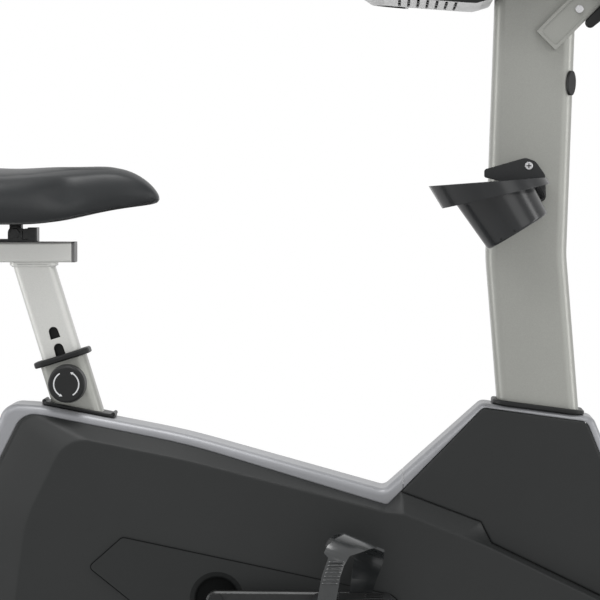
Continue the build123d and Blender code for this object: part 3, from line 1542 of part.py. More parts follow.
with BuildPart() as bottle_cup:
    with BuildSketch(cup_plane) as cup_base:
        Circle(cup_radius)
    extrude(amount=2 * cup_rim_along, taper=-cup_draft)
    fillet(edges().sort_by(Axis.Z)[0], cup_wall)
    split(bisect_by=lip_cut, keep=Keep.BOTTOM)
    add(cup_lip.part)
    with BuildSketch(cup_plane.offset(cup_wall)) as cup_hollow:
        Circle(cup_radius - cup_wall)
    extrude(amount=2 * cup_rim_along, taper=-cup_draft, mode=Mode.SUBTRACT)
bottle_cup.part.label = "bottle_cup"
export_step(bottle_cup.part, "parts/bottle_cup.step")

bracket_y = mast_width / 2 + seat_gap
bracket_points = [
    (cup_x - 40, cup_z + 67),
    (cup_x - 40, cup_z + 77),
    (cup_x + 12, cup_z + 91.7),
    (cup_x + 24.5, cup_z + 87),
    (cup_x + 36.5, cup_z + 70),
    (cup_x + 38, cup_z + 36),
    (cup_x - 2, cup_z + 36),
    (cup_x - 10, cup_z + 60),
]
bracket_radii = [3, 4, 10, 8, 8, 8, 4, 6]
with BuildPart() as bottle_bracket:
    extrude(side_face(bracket_points, bracket_radii, bracket_y), amount=bracket_thick)
    block_points = [
        (cup_x + 4, cup_z + 40),
        (cup_x + 4, cup_z + 64),
        (cup_x + 35, cup_z + 64),
        (cup_x + 35, cup_z + 40),
    ]
    extrude(side_face(block_points, [4] * 4, bracket_y), amount=collar_lip_radius / 2)
    with BuildSketch(cup_plane) as cup_seat:
        Circle(collar_lip_radius + seat_gap)
    extrude(amount=2 * cup_rim_along, mode=Mode.SUBTRACT)
bottle_bracket.part.label = "bottle_bracket"
export_step(bottle_bracket.part, "parts/bottle_bracket.step")

# Console: a slanted case with a lower tray, a silver band under it, a screen and two keys
face_angle = radians(console_slope)
face_normal = (-sin(face_angle), 0, cos(face_angle))
face_plane = Plane(origin=(console_x, 0, console_z), x_dir=(0, -1, 0), z_dir=face_normal)
rest_points = [
    (mast_top_x - 216, mast_top_z - 15),
    (mast_top_x - 158, mast_top_z + 60),
    (mast_top_x - 54, mast_top_z + 60),
    (mast_top_x - 54, mast_top_z - 30.2),
    (mast_top_x - 77, mast_top_z - 36.8),
    (mast_top_x - 89.5, mast_top_z - 36.3),
    (mast_top_x - 210, mast_top_z - 27.1),
]
under_angle = atan2(rest_points[5][1] - rest_points[6][1], rest_points[5][0] - rest_points[6][0])
under_plane = Plane(
    origin=(rest_points[6][0], 0, rest_points[6][1]),
    x_dir=(cos(under_angle), 0, sin(under_angle)),
    z_dir=(-sin(under_angle), 0, cos(under_angle)),
)
band_points = [
    (rest_points[6][0] + 3, rest_points[6][1] + console_wall),
    (rest_points[5][0], rest_points[5][1] + console_wall),
    (rest_points[4][0], rest_points[4][1] + console_wall),
    (rest_points[3][0] - 5, rest_points[3][1] + console_wall),
    (rest_points[3][0] - 5, rest_points[3][1] - 1),
    rest_points[4],
    rest_points[5],
    (rest_points[6][0] + 3, rest_points[6][1]),
]
neck_points = [
    (mast_top_x - 60, mast_top_z + seat_gap),
    (mast_top_x - 60, mast_top_z + 140),
    (mast_top_x - 20, mast_top_z + 200),
    (mast_top_x + 40, mast_top_z + 40),
    (mast_top_x + 46, mast_top_z + seat_gap),
]
with BuildPart() as console_housing:
    with BuildSketch(face_plane) as case_face:
        RectangleRounded(console_width, console_height, console_round)
    extrude(amount=-console_thick)
    fillet(faces().filter_by(face_plane).sort_by(Axis.X)[0].edges(), 4)
    split(bisect_by=under_plane, keep=Keep.TOP)
    with BuildSketch(face_plane.offset(-2 * console_wall)) as case_hollow:
        RectangleRounded(
            console_width - 2 * console_wall,
            console_height - 2 * console_wall,
            console_round - console_wall,
        )
    extrude(amount=3 * console_wall - console_thick, mode=Mode.SUBTRACT)
    extrude(side_face(rest_points, [4, 8, 2, 6, 10, 8, 6], 0), amount=rest_half, both=True)
    extrude(
        side_face(inset(rest_points, console_wall), 2, 0),
        amount=rest_half - console_wall,
        both=True,
        mode=Mode.SUBTRACT,
    )
    extrude(
        side_face(inset(band_points, -seat_gap), 1, 0),
        amount=rest_half - console_wall,
        both=True,
        mode=Mode.SUBTRACT,
    )
    extrude(side_face(neck_points, [0, 8, 20, 8, 0], 0), amount=mast_width / 2, both=True)
    with BuildSketch(face_plane) as screen_recess:
        with Locations((0, screen_rise)):
            RectangleRounded(screen_width, screen_height, 6)
    extrude(amount=-console_wall, mode=Mode.SUBTRACT)
    with BuildSketch(face_plane) as key_holes:
        with Locations((-key_spread, key_rise), (key_spread, key_rise)):
            RectangleRounded(key_width, key_height, 5)
    extrude(amount=-2 * console_wall - 1, mode=Mode.SUBTRACT)
console_housing.part.label = "console_housing"
export_step(console_housing.part, "parts/console_housing.step")

with BuildPart() as console_screen:
    with BuildSketch(face_plane.offset(seat_gap / 2 - console_wall)) as screen_glass:
        with Locations((0, screen_rise)):
            RectangleRounded(screen_width - 2 * seat_gap, screen_height - 2 * seat_gap, 6)
    extrude(amount=console_wall - seat_gap)
console_screen.part.label = "console_screen"
export_step(console_screen.part, "parts/console_screen.step")

for name, across in (("start_key", -key_spread), ("stop_key", key_spread)):
    with BuildPart() as key:
        with BuildSketch(face_plane.offset(key_proud)) as key_cap:
            with Locations((across, key_rise)):
                RectangleRounded(
                    key_width - 2 * moving_gap, key_height - 2 * moving_gap, 5 - moving_gap
                )
        extrude(amount=-2 * console_wall - key_proud)
        chamfer(faces().filter_by(face_plane).sort_by(Axis.X)[0].edges(), key_proud / 3)
    key.part.label = name
    export_step(key.part, f"parts/{name}.step")

# Silver band let into the underside of the tray, with a row of vent slots on each side
with BuildPart() as console_band:
    extrude(
        side_face(band_points, [1, 8, 10, 1, 1, 10, 8, 1], 0),
        amount=rest_half - console_wall - seat_gap,
        both=True,
    )
    slot_y = (rest_half - console_wall) / 2
    with BuildSketch(Plane.XY.offset(mast_top_z)) as band_slots:
        for index in range(slot_count):
            slot_x = mast_top_x - slot_start + index * slot_pitch
            with Locations((slot_x, slot_y), (slot_x, -slot_y)):
                SlotOverall(slot_length, slot_width, rotation=90)
    extrude(amount=-mast_depth, mode=Mode.SUBTRACT)
console_band.part.label = "console_band"
export_step(console_band.part, "parts/console_band.step")

# Fasteners of the fixed frame: shell screws, mast bolts, bottle-holder screws, wheel axle bolts
with BuildPart() as fasteners:
    for side in (1, -1):
        with BuildSketch(Plane.XZ.offset(side * shell_half_width)) as screw_heads:
            with Locations((-360, 140), (-200, 120), (60, 120), (220, 120), (385, 140)):
                Circle(shell_screw_radius)
        extrude(amount=side * shell_screw_height, taper=15)
        for along in (1, -1):
            bolt_x = mast_foot_x + along * (mast_depth / 2 + mast_bolt_inset)
            with BuildSketch(Plane.XY.offset(mast_foot_z)) as mast_bolt_head:
                with Locations((bolt_x, side * (rail_width / 2 - 2 * mast_bolt_inset))):
                    RegularPolygon(mast_bolt_inset / 1.6, 6)
            extrude(amount=mast_bolt_inset / 2)
    screw_y = bracket_y + bracket_thick
    extrude(
        cross_face(cup_x + 16, cup_z + 81.5, screw_y, 1.2 * shell_screw_radius),
        amount=shell_screw_height,
        taper=15,
    )
    arm_bolt_x = handlebar_x - 0.42 * arm_reach
    arm_bolt_z = handlebar_z - 0.45 * arm_reach
    for side in (1, -1):
        arm_floor = side * (arm_end - arm_pocket)
        extrude(
            cross_face(arm_bolt_x, arm_bolt_z, arm_floor, arm_bolt_radius),
            amount=side * 2 * arm_pocket,
        )
    axle_half = wheel_gap + wheel_fork_wall
    for y in (wheel_y, -wheel_y):
        with BuildSketch(Plane.XZ.offset(-y - axle_half)) as axle_rod:
            with Locations((wheel_x, fork_z)):
                Circle(wheel_axle_radius)
        extrude(amount=2 * axle_half)
        for end in (axle_half, -axle_half):
            with BuildSketch(Plane.XZ.offset(end - y)) as axle_head:
                with Locations((wheel_x, fork_z)):
                    RegularPolygon(1.7 * wheel_axle_radius, 6)
            extrude(amount=wheel_axle_radius if end > 0 else -wheel_axle_radius)
fasteners.part.label = "fasteners"
export_step(fasteners.part, "parts/fasteners.step")
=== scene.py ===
"""Finishes, padded saddle, rubber straps, small fittings and a studio for an upright exercise bike."""

from math import cos, exp, pi, radians, sin, tau

import bmesh
import bpy
from bpy.props import FloatProperty, FloatVectorProperty, IntProperty, PointerProperty
from bpy.types import Operator, Panel, PropertyGroup
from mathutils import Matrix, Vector
from mathutils.bvhtree import BVHTree


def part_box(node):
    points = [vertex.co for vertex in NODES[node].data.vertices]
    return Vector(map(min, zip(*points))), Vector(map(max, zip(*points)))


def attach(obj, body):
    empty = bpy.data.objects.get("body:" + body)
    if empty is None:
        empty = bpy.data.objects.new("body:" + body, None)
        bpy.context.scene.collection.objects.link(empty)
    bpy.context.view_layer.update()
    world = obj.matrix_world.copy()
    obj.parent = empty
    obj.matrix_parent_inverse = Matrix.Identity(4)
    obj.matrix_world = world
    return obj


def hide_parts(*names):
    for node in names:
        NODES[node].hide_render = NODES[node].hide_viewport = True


bl_info = {
    "name": "Exercise Bike Dressing",
    "version": (1, 0, 0),
    "blender": (4, 5, 0),
    "location": "View3D > Sidebar > Exercise Bike",
    "description": "Dresses an upright exercise bike with finishes, padding, rubber and fittings",
    "category": "Object",
}

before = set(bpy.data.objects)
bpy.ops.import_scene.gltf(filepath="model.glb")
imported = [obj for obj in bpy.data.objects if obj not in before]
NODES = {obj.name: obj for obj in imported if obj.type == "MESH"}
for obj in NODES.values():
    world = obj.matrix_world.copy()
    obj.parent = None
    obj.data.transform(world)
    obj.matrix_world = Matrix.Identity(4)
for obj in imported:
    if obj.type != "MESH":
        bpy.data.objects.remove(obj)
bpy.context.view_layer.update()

# Metres that a print, and a dark mark of painted shade, reach in and out of the face they lie on
PRINT_IN = 0.0001
PRINT_OUT = 0.0002
SHADE_MARK_IN = 0.0003
SHADE_MARK_OUT = 0.0002


def colour(label, use, value):
    """A colour setting."""
    return FloatVectorProperty(
        name=label, description=use, default=value, size=3, min=0.0, max=1.0, subtype="COLOR"
    )


def length(label, use, value):
    """A length setting in metres."""
    return FloatProperty(
        name=label, description=use, default=value, precision=4, subtype="DISTANCE", unit="LENGTH"
    )


def angle(label, use, value):
    """An angle setting, given in degrees."""
    return FloatProperty(name=label, description=use, default=radians(value), subtype="ANGLE")


def number(label, use, value):
    """A plain number or share."""
    return FloatProperty(name=label, description=use, default=value)


def power(label, use, value):
    """A lamp's power in watts."""
    return FloatProperty(name=label, description=use, default=value, min=0.0, subtype="POWER")


def amount(label, use, value):
    """How many there are of something."""
    return IntProperty(name=label, description=use, default=value, min=1)


class BikeColours(PropertyGroup):
    """Colours of the finishes, the places where two of them meet, and where painted shade starts."""

    silver: colour("Silver paint", "Mast, seat tube and base", (0.315, 0.318, 0.295))
    bright: colour("Bright silver", "Seat post and saddle slide", (0.57, 0.572, 0.55))
    gunmetal: colour("Gunmetal", "Crank arms and brackets", (0.022, 0.0225, 0.0225))
    shell: colour("Shell", "Side shells and covers", (0.0150, 0.0161, 0.0161))
    trim: colour("Trim", "Trim bands of the housing", (0.272, 0.276, 0.290))
    band: colour("Band", "Band under the console", (0.56, 0.56, 0.56))
    black: colour("Black plastic", "Caps, knobs, pedals and console", (0.0105, 0.0110, 0.0112))
    gloss: colour("Gloss black", "Bottle holder and keys", (0.0095, 0.0105, 0.0115))
    strap: colour("Strap", "Pedal straps", (0.023, 0.0250, 0.0258))
    rubber: colour("Rubber", "Feet and wheels", (0.029, 0.0305, 0.0305))
    vinyl: colour("Vinyl", "Saddle cover", (0.0170, 0.0187, 0.0199))
    cap: colour("Cap", "End caps of the saddle slide", (0.14, 0.14, 0.14))
    steel: colour("Steel", "Bolts and axles", (0.55, 0.55, 0.56))
    iron: colour("Iron", "Flywheel", (0.09, 0.09, 0.095))
    marking: colour("Marking", "Printed arrows and key signs", (0.60, 0.61, 0.62))
    display: colour("Display", "Unlit segments of the display", (0.045, 0.055, 0.055))
    # Painted shade: below this half width a crank cover is painted dark, standing in for the shade in
    # its sunk cup
    sunk: length("Sunk", "Half width of the bike below which a crank cover is dark", 0.0708)
    tray: length("Tray", "Height below which the console's underside is silver", 1.075)


class BikeSaddle(PropertyGroup):
    """How the saddle's cover is swelled and hollowed."""

    voxel: length("Voxel", "Size of the cover's mesh cells", 0.005)
    shrink: length("Shrink", "How far the cover starts inside the solid", 0.003)
    cap: length("Cap", "Most that a point of the cover may move", 0.004)
    sides: number("Sides", "Share of the swelling that the upright sides get", 0.25)
    pressure: number("Pressure", "Push of the foam", 4.0)
    frames: amount("Frames", "Steps of the cloth run", 20)
    recess: length("Recess", "Depth of the recess that holds the pan", 0.005)
    near: length("Near", "Distance within which the cover counts as lying on the pan", 0.0016)
    waist: length("Waist", "Depth of the hollow between the tail and the nose", 0.008)
    waist_length: length("Waist length", "Half of the hollow's length", 0.024)
    waist_place: number("Waist place", "Place of the hollow, as a share of the length", 0.56)
    waist_rise: number("Waist rise", "Share of the height over which the hollow deepens", 0.4)
    rim: number("Rim", "Share of the height that has no hollow", 0.2)


class BikeKnob(PropertyGroup):
    """Marks on the pull knob."""

    ring: length("Ring", "Radius of the printed arrows", 0.0158)
    line: length("Line", "Width of the printed arrows", 0.0016)
    sweep: angle("Sweep", "Angle of one arrow", 118)
    head_length: number("Head length", "Length of an arrow's head in half line widths", 4.5)
    head_half: number("Head half", "Half width of an arrow's head in half line widths", 2.4)


class BikeStrap(PropertyGroup):
    """Rubber pedal straps."""

    edge: length("Edge", "Rounding of the strap's edges", 0.0012)
    rib: length("Rib", "Width of one grip rib", 0.0026)
    pitch: length("Pitch", "Distance between grip ribs", 0.0044)
    ribs: amount("Ribs", "Grip ribs on the strap's outer leg", 7)
    first: length("First", "Height of the lowest rib over the pedal", 0.022)
    reach: length("Reach", "How far the ribs start behind the pedal's middle", 0.0355)
    rib_length: length("Rib length", "Length of one grip rib", 0.0185)
    rib_rise: length("Rib rise", "Height of a rib over the strap", 0.0007)
    rib_root: length("Rib root", "How deep a rib starts in the strap", 0.0004)
    crown: number("Crown", "Share of a rib's width that is flat on top", 0.6)
    lean: number("Lean", "Forward shift of the ribs for each metre up", 0.31)


class BikeSeat(PropertyGroup):
    """Fittings of the seat post and of the saddle's clamp, and the strip of painted shade inside the
    post.
    """

    # The liner is painted shade: a dark strip that makes the post's holes look dark inside
    liner_top: length("Liner top", "Drop from the post's top to the liner", 0.040)
    liner_bottom: length("Liner bottom", "Drop from the post's top to the liner's end", 0.300)
    liner_half: length("Liner half", "Half width of the liner", 0.010)
    liner_depth: length("Liner depth", "Place of the liner behind the post's near face", 0.0115)
    liner_thick: length("Liner thickness", "Thickness of the liner", 0.001)
    lean: angle("Lean", "Lean of the seat post", 17.2)
    web_length: length("Web length", "Length of the web between clamp and block", 0.010)
    web_back: length("Web back", "Place of the web behind the block's front", 0.0205)
    web_drop: length("Web drop", "Drop from the clamp's top to the web", 0.0035)
    web_height: length("Web height", "Height of the web", 0.013)
    web_inside: length("Web inside", "Half width inside the webs", 0.0126)
    web_outside: length("Web outside", "Half width outside the webs", 0.0171)


class BikeBottle(PropertyGroup):
    """Small marks of painted shade on the bottle holder."""

    foot_x: length("Foot x", "Place of the cup's foot along the bike", 0.2724)
    foot_y: length("Foot y", "Place of the cup's foot across the bike", -0.1062)
    foot_z: length("Foot z", "Height of the cup's foot", 0.7696)
    tilt: angle("Tilt", "Tilt of the cup", 31.5)
    radius: length("Radius", "Radius of the cup at its drain notches", 0.0432)
    notch: length("Notch", "Size of a drain notch", 0.0028)
    notch_rise: number("Notch rise", "Height of a notch over the foot, in notch sizes", 1.4)
    notch_depth: length("Notch depth", "How deep a notch reaches into the wall", 0.0015)
    notch_proud: length("Notch proud", "How far a notch's face stands out", 0.0003)
    screw: FloatVectorProperty(
        name="Screw", description="Face of the bracket's screw", default=(0.2884, -0.0414, 0.8511)
    )
    slot: length("Slot", "Length of the screw's cross slots", 0.0062)


class BikeWelds(PropertyGroup):
    """Weld beads of the steel frame."""

    bead: length("Bead", "Radius of a weld bead", 0.0022)
    ripple: length("Ripple", "Length of one ripple of a bead", 0.0035)
    dip: number("Dip", "Size of a bead between two ripples, as a share", 0.86)
    plate: length("Plate", "Thickness of the plate on the seat post", 0.004)
    plate_half: length("Plate half", "Half length of the plate on the seat post", 0.030)
    post_depth: length("Post depth", "Half depth of the seat post where it meets the plate", 0.0262)
    post_half: length("Post half", "Half width of the seat post", 0.017)
    corner: length("Corner", "Rounding of the seat post", 0.009)


class BikeConsole(PropertyGroup):
    """Signs, display bars and vent strips of painted shade on the console."""

    slope: angle("Slope", "Lean of the console's face", 57)
    sign: length("Sign", "Size of the sign on a key", 0.011)
    bars: amount("Bars", "Bars of the display's effort graph", 12)
    waves: number("Waves", "Waves of effort in the graph", 1.5)
    bar_width: length("Bar width", "Width of one bar", 0.010)
    bar_pitch: length("Bar pitch", "Distance between bars", 0.0145)
    bar_low: length("Bar low", "Height of the lowest bar", 0.012)
    bar_high: length("Bar high", "Height of the highest bar", 0.046)
    # The vents' middle strips are painted shade that carries the dark slots across the band's middle
    vents: amount("Vents", "Vent slots under the tray", 7)
    vent_start: length("Vent start", "Place of the first vent slot", 0.126)
    vent_pitch: length("Vent pitch", "Distance between vent slots", 0.0117)
    vent_width: length("Vent width", "Width of a vent slot", 0.0036)
    vent_half: length("Vent half", "Half length of the vents' middle strips", 0.0135)
    tray_x: length("Tray x", "Rear end of the tray's underside", 0.088)
    tray_z: length("Tray z", "Height of the tray's underside at its rear end", 1.0609)
    tray_fall: number("Tray fall", "Fall of the tray's underside for each metre forward", 0.07635)


class BikeStage(PropertyGroup):
    """Camera, lamps and floor."""

    distance: length("Distance", "Camera distance from the bike's middle plane", 4.5)
    aside: length("Aside", "Camera place in front of the bike's middle", 0.115)
    height: length("Height", "Camera height", 0.83)
    aim: length("Aim", "Height that the camera looks at", 0.681)
    width: length("Width", "Width of the view at the bike's middle plane", 0.762)
    floor: length("Floor", "Radius of the floor", 3.1)
    pale: colour("Pale", "Colour of the floor", (0.86, 0.86, 0.86))
    middle: length("Middle", "Height that the lamps point at", 0.7)
    key: power("Key", "Power of the main lamp", 36.0)
    top: power("Top", "Power of the overhead lamp", 52.0)
    fill: power("Fill", "Power of the lamp in front", 18.0)
    side: power("Side", "Power of each strip lamp", 22.0)
    sky: number("Sky", "Strength of the soft light all round", 0.36)


def add_node(tree, kind, **values):
    """A shader node with the given input values; underscores in the names stand for spaces."""
    node = tree.nodes.new(kind)
    for key, value in values.items():
        node.inputs[key.replace("_", " ")].default_value = value
    return node


def start_finish(name, base, roughness, metallic=0.0, shine=0.5):
    """A new material with the main shader's plain values, and its place in the object's own space."""
    made = bpy.data.materials.new(name)
    made.use_nodes = True
    tree = made.node_tree
    shader = tree.nodes["Principled BSDF"]
    shader.inputs["Base Color"].default_value = (*base, 1.0)
    shader.inputs["Roughness"].default_value = roughness
    shader.inputs["Metallic"].default_value = metallic
    shader.inputs["Specular IOR Level"].default_value = shine
    place = tree.nodes.new("ShaderNodeTexCoord").outputs["Object"]
    return made, tree, shader, place


def vary_colour(tree, shader, place, base, spread, scale, detail=4.0):
    """Clouds of a darker and a lighter shade of the base colour."""
    clouds = add_node(tree, "ShaderNodeTexNoise", Scale=scale, Detail=detail, Roughness=0.6)
    ramp = tree.nodes.new("ShaderNodeValToRGB")
    ramp.color_ramp.elements[0].position = 0.3
    ramp.color_ramp.elements[1].position = 0.7
    ramp.color_ramp.elements[0].color = (*[channel * (1 - spread) for channel in base], 1.0)
    ramp.color_ramp.elements[1].color = (*[min(1.0, channel * (1 + spread)) for channel in base], 1.0)
    tree.links.new(place, clouds.inputs["Vector"])
    tree.links.new(clouds.outputs["Fac"], ramp.inputs["Fac"])
    tree.links.new(ramp.outputs["Color"], shader.inputs["Base Color"])
    return ramp


def vary_roughness(tree, shader, place, low, high, scale):
    """Patches that are a little more polished than the rest."""
    patches = add_node(tree, "ShaderNodeTexNoise", Scale=scale, Detail=3.0)
    span = add_node(tree, "ShaderNodeMapRange", To_Min=low, To_Max=high)
    tree.links.new(place, patches.inputs["Vector"])
    tree.links.new(patches.outputs["Fac"], span.inputs["Value"])
    tree.links.new(span.outputs["Result"], shader.inputs["Roughness"])


def grain(tree, shader, height, strength, depth, edge=0.0):
    """Bumps the surface by a height output, over edges softened by the edge radius."""
    bump = add_node(tree, "ShaderNodeBump", Strength=strength, Distance=depth)
    tree.links.new(height, bump.inputs["Height"])
    if edge > 0.0:
        soft = add_node(tree, "ShaderNodeBevel", Radius=edge)
        soft.samples = 6
        tree.links.new(soft.outputs["Normal"], bump.inputs["Normal"])
    tree.links.new(bump.outputs["Normal"], shader.inputs["Normal"])


def noise_height(tree, place, scale, detail=3.0):
    """Height output of a fine noise."""
    fine = add_node(tree, "ShaderNodeTexNoise", Scale=scale, Detail=detail)
    tree.links.new(place, fine.inputs["Vector"])
    return fine.outputs["Fac"]


def cell_height(tree, place, scale):
    """Height output of small rounded cells."""
    cells = add_node(tree, "ShaderNodeTexVoronoi", Scale=scale)
    cells.feature = "SMOOTH_F1"
    tree.links.new(place, cells.inputs["Vector"])
    return cells.outputs["Distance"]


def finish(build):
    """The material that a finish function makes, built the first time it is asked for."""
    name = "bike_" + build.__name__
    return bpy.data.materials.get(name) or build(name, bpy.context.scene.bike_colours)


def textured(
    name, base, metallic=0.0, shine=0.5, spread=0.1, clouds=30.0, smooth=0.4, rough=0.52, patches=30.0,
    fine=1400.0, detail=3.0, strength=0.16, depth=0.0003, edge=0.0, cloud_detail=4.0,
):
    """A material with clouds of colour, patches from smooth to rough and a fine grain."""
    made, tree, shader, place = start_finish(name, base, rough, metallic, shine)
    vary_colour(tree, shader, place, base, spread, clouds, cloud_detail)
    vary_roughness(tree, shader, place, smooth, rough, patches)
    grain(tree, shader, noise_height(tree, place, fine, detail), strength, depth, edge)
    return made


def silver_paint(name, colours):
    """Satin metallic paint with a fine sparkle and slightly orange-peeled surface."""
    return metal_paint(name, colours.silver)


def bright_paint(name, colours):
    """The same paint in the paler shade of the parts that slide."""
    return metal_paint(name, colours.bright)


def metal_paint(name, base):
    """Metallic paint in the given shade, under a thin clear coat."""
    made = textured(
        name, base, metallic=0.35, spread=0.05, clouds=900.0, cloud_detail=2.0, smooth=0.36, rough=0.46,
        patches=14.0, fine=420.0, strength=0.12, depth=0.0004, edge=0.0012,
    )
    shader = made.node_tree.nodes["Principled BSDF"]
    shader.inputs["Coat Weight"].default_value = 0.1
    shader.inputs["Coat Roughness"].default_value = 0.25
    return made


def gunmetal(name, colours):
    """Dark satin paint on forged and welded steel."""
    return textured(
        name, colours.gunmetal, metallic=0.6, spread=0.18, clouds=260.0, smooth=0.30, rough=0.44,
        patches=40.0, fine=600.0, strength=0.15, depth=0.0004, edge=0.0015,
    )


def shell_plastic(name, colours):
    """Moulded charcoal plastic with a fine spark-eroded grain."""
    return textured(
        name, colours.shell, shine=0.3, spread=0.06, clouds=7.0, smooth=0.43, rough=0.53, patches=9.0,
        fine=1500.0, detail=1.0, strength=0.18, edge=0.005,
    )


def cover_plastic(name, colours):
    """The shell's plastic, with painted shade where a cover's edge slopes down and in the sunk cup
    round the axle.
    """
    made, tree, shader, place = start_finish(name, colours.shell, roughness=0.55, shine=0.25)
    ramp = vary_colour(tree, shader, place, colours.shell, spread=0.06, scale=7.0)
    vary_roughness(tree, shader, place, low=0.5, high=0.6, scale=9.0)
    height = noise_height(tree, place, scale=1500.0, detail=1.0)
    grain(tree, shader, height, strength=0.22, depth=0.0003)
    # Painted shade: a darker shell colour and a lower specular level on sloping edges and in the sunk
    # cup, for the shade of groove and recess
    groove_shade = [0.35 * channel for channel in colours.shell]
    facing = tree.nodes.new("ShaderNodeTexCoord").outputs["Normal"]
    edges = part_mask(tree, facing, "Y", start=0.99, end=0.9)
    sunk = part_mask(tree, place, "Y", start=colours.sunk + 0.0012, end=colours.sunk)
    dark = sum_of(tree, "MAXIMUM", edges, sunk)
    two_tone(tree, shader, ramp.outputs["Color"], groove_shade, dark)
    shine = add_node(tree, "ShaderNodeMapRange", To_Min=0.25, To_Max=0.03)
    tree.links.new(dark, shine.inputs["Value"])
    tree.links.new(shine.outputs["Result"], shader.inputs["Specular IOR Level"])
    return made


def sum_of(tree, operation, *terms):
    """The output of a sum worked on one or two outputs."""
    node = tree.nodes.new("ShaderNodeMath")
    node.operation = operation
    for index, term in enumerate(terms):
        tree.links.new(term, node.inputs[index])
    return node.outputs["Value"]


def two_tone(tree, shader, first, second, mask):
    """Mixes a colour output with a plain second colour by a mask output."""
    mix = tree.nodes.new("ShaderNodeMix")
    mix.data_type = "RGBA"
    mix.inputs["B"].default_value = (*second, 1.0)
    tree.links.new(mask, mix.inputs["Factor"])
    tree.links.new(first, mix.inputs["A"])
    tree.links.new(mix.outputs["Result"], shader.inputs["Base Color"])


def part_of(tree, vector, axis):
    """One part of a vector output."""
    parts = tree.nodes.new("ShaderNodeSeparateXYZ")
    tree.links.new(vector, parts.inputs["Vector"])
    return parts.outputs[axis]


def span_mask(tree, value, start, end):
    """A mask output from 0 to 1 as a value output goes from start to end."""
    span = add_node(tree, "ShaderNodeMapRange", From_Min=start, From_Max=end)
    tree.links.new(value, span.inputs["Value"])
    return span.outputs["Result"]


def part_mask(tree, vector, axis, start, end):
    """A mask output for one part of a vector output, the same on either side of zero."""
    return span_mask(tree, sum_of(tree, "ABSOLUTE", part_of(tree, vector, axis)), start, end)


def tray_mask(tree, place, height):
    """A mask output that is 1 where the surface faces down and lies below a height."""
    facing = tree.nodes.new("ShaderNodeTexCoord").outputs["Normal"]
    under = span_mask(tree, part_of(tree, facing, "Z"), start=-0.2, end=-0.5)
    below = part_mask(tree, place, "Z", start=height, end=height - 0.002)
    return sum_of(tree, "MULTIPLY", under, below)


def console_plastic(name, colours):
    """Satin black plastic whose tray is silver underneath, like the band let into it."""
    made, tree, shader, place = start_finish(name, colours.black, roughness=0.45, shine=0.25)
    ramp = vary_colour(tree, shader, place, colours.black, spread=0.12, scale=30.0)
    vary_roughness(tree, shader, place, low=0.4, high=0.52, scale=25.0)
    height = noise_height(tree, place, scale=1400.0)
    grain(tree, shader, height, strength=0.16, depth=0.0003)
    two_tone(tree, shader, ramp.outputs["Color"], colours.band, tray_mask(tree, place, colours.tray))
    return made


def cap_plastic(name, colours):
    """Grey moulded plastic of the slide's end caps."""
    return textured(name, colours.cap, shine=0.35, clouds=40.0, edge=0.0012)


def trim_plastic(name, colours):
    """Silver-grey trim with a satin face."""
    return textured(
        name, colours.trim, metallic=0.2, spread=0.05, clouds=12.0, smooth=0.34, rough=0.44,
        patches=20.0, fine=1200.0, strength=0.1, edge=0.0025,
    )


def band_plastic(name, colours):
    """Pale silver plastic under the console."""
    made, tree, shader, place = start_finish(name, colours.band, roughness=0.38, metallic=0.15)
    vary_colour(tree, shader, place, colours.band, spread=0.04, scale=18.0)
    height = noise_height(tree, place, scale=1200.0)
    grain(tree, shader, height, strength=0.08, depth=0.0003, edge=0.0015)
    return made


def black_plastic(name, colours):
    """Satin black moulded plastic."""
    return textured(name, colours.black, shine=0.25, spread=0.12, patches=25.0, edge=0.0012)


def gloss_plastic(name, colours):
    """Polished black plastic."""
    return textured(
        name, colours.gloss, shine=0.4, clouds=20.0, smooth=0.18, rough=0.27, fine=260.0,
        strength=0.04, depth=0.0004, edge=0.001,
    )


def strap_rubber(name, colours):
    """Smooth moulded rubber of the pedal straps."""
    return textured(
        name, colours.strap, shine=0.65, clouds=45.0, smooth=0.17, rough=0.27, patches=35.0,
        fine=900.0, strength=0.06,
    )


def rubber(name, colours):
    """Matt moulded rubber."""
    return textured(
        name, colours.rubber, shine=0.35, spread=0.14, clouds=45.0, smooth=0.44, rough=0.56,
        patches=35.0, fine=900.0, strength=0.25, depth=0.0004, edge=0.0015,
    )


def vinyl(name, colours):
    """Soft grained vinyl of the saddle."""
    made, tree, shader, place = start_finish(name, colours.vinyl, roughness=0.42, shine=0.3)
    vary_colour(tree, shader, place, colours.vinyl, spread=0.12, scale=16.0)
    vary_roughness(tree, shader, place, low=0.38, high=0.47, scale=22.0)
    height = cell_height(tree, place, scale=950.0)
    grain(tree, shader, height, strength=0.22, depth=0.0004)
    shader.inputs["Sheen Weight"].default_value = 0.04
    shader.inputs["Sheen Roughness"].default_value = 0.4
    return made


def foam(name, colours):
    """Closed-cell foam of the hand grips."""
    made, tree, shader, place = start_finish(name, colours.black, roughness=0.85, shine=0.25)
    vary_colour(tree, shader, place, colours.black, spread=0.25, scale=300.0)
    height = cell_height(tree, place, scale=700.0)
    grain(tree, shader, height, strength=0.5, depth=0.0006, edge=0.002)
    return made


def steel(name, colours):
    """Brushed steel of bolts, axles and bearings."""
    return textured(
        name, colours.steel, metallic=1.0, spread=0.08, clouds=60.0, smooth=0.2, rough=0.36,
        patches=90.0, fine=800.0, strength=0.08, edge=0.0008,
    )


def cast_iron(name, colours):
    """Cast and turned iron of the flywheel."""
    return textured(
        name, colours.iron, metallic=0.85, spread=0.25, clouds=80.0, smooth=0.38, rough=0.62,
        patches=50.0, fine=500.0, strength=0.3, depth=0.0006, edge=0.0015,
    )


def marking_ink(name, colours):
    """Pale printing ink."""
    made, tree, shader, place = start_finish(name, colours.marking, roughness=0.5)
    vary_colour(tree, shader, place, colours.marking, spread=0.06, scale=400.0)
    return made


def display_ink(name, colours):
    """Dim segments of a display that is switched off."""
    made, tree, shader, place = start_finish(name, colours.display, roughness=0.4, shine=0.3)
    vary_colour(tree, shader, place, colours.display, spread=0.08, scale=300.0)
    return made


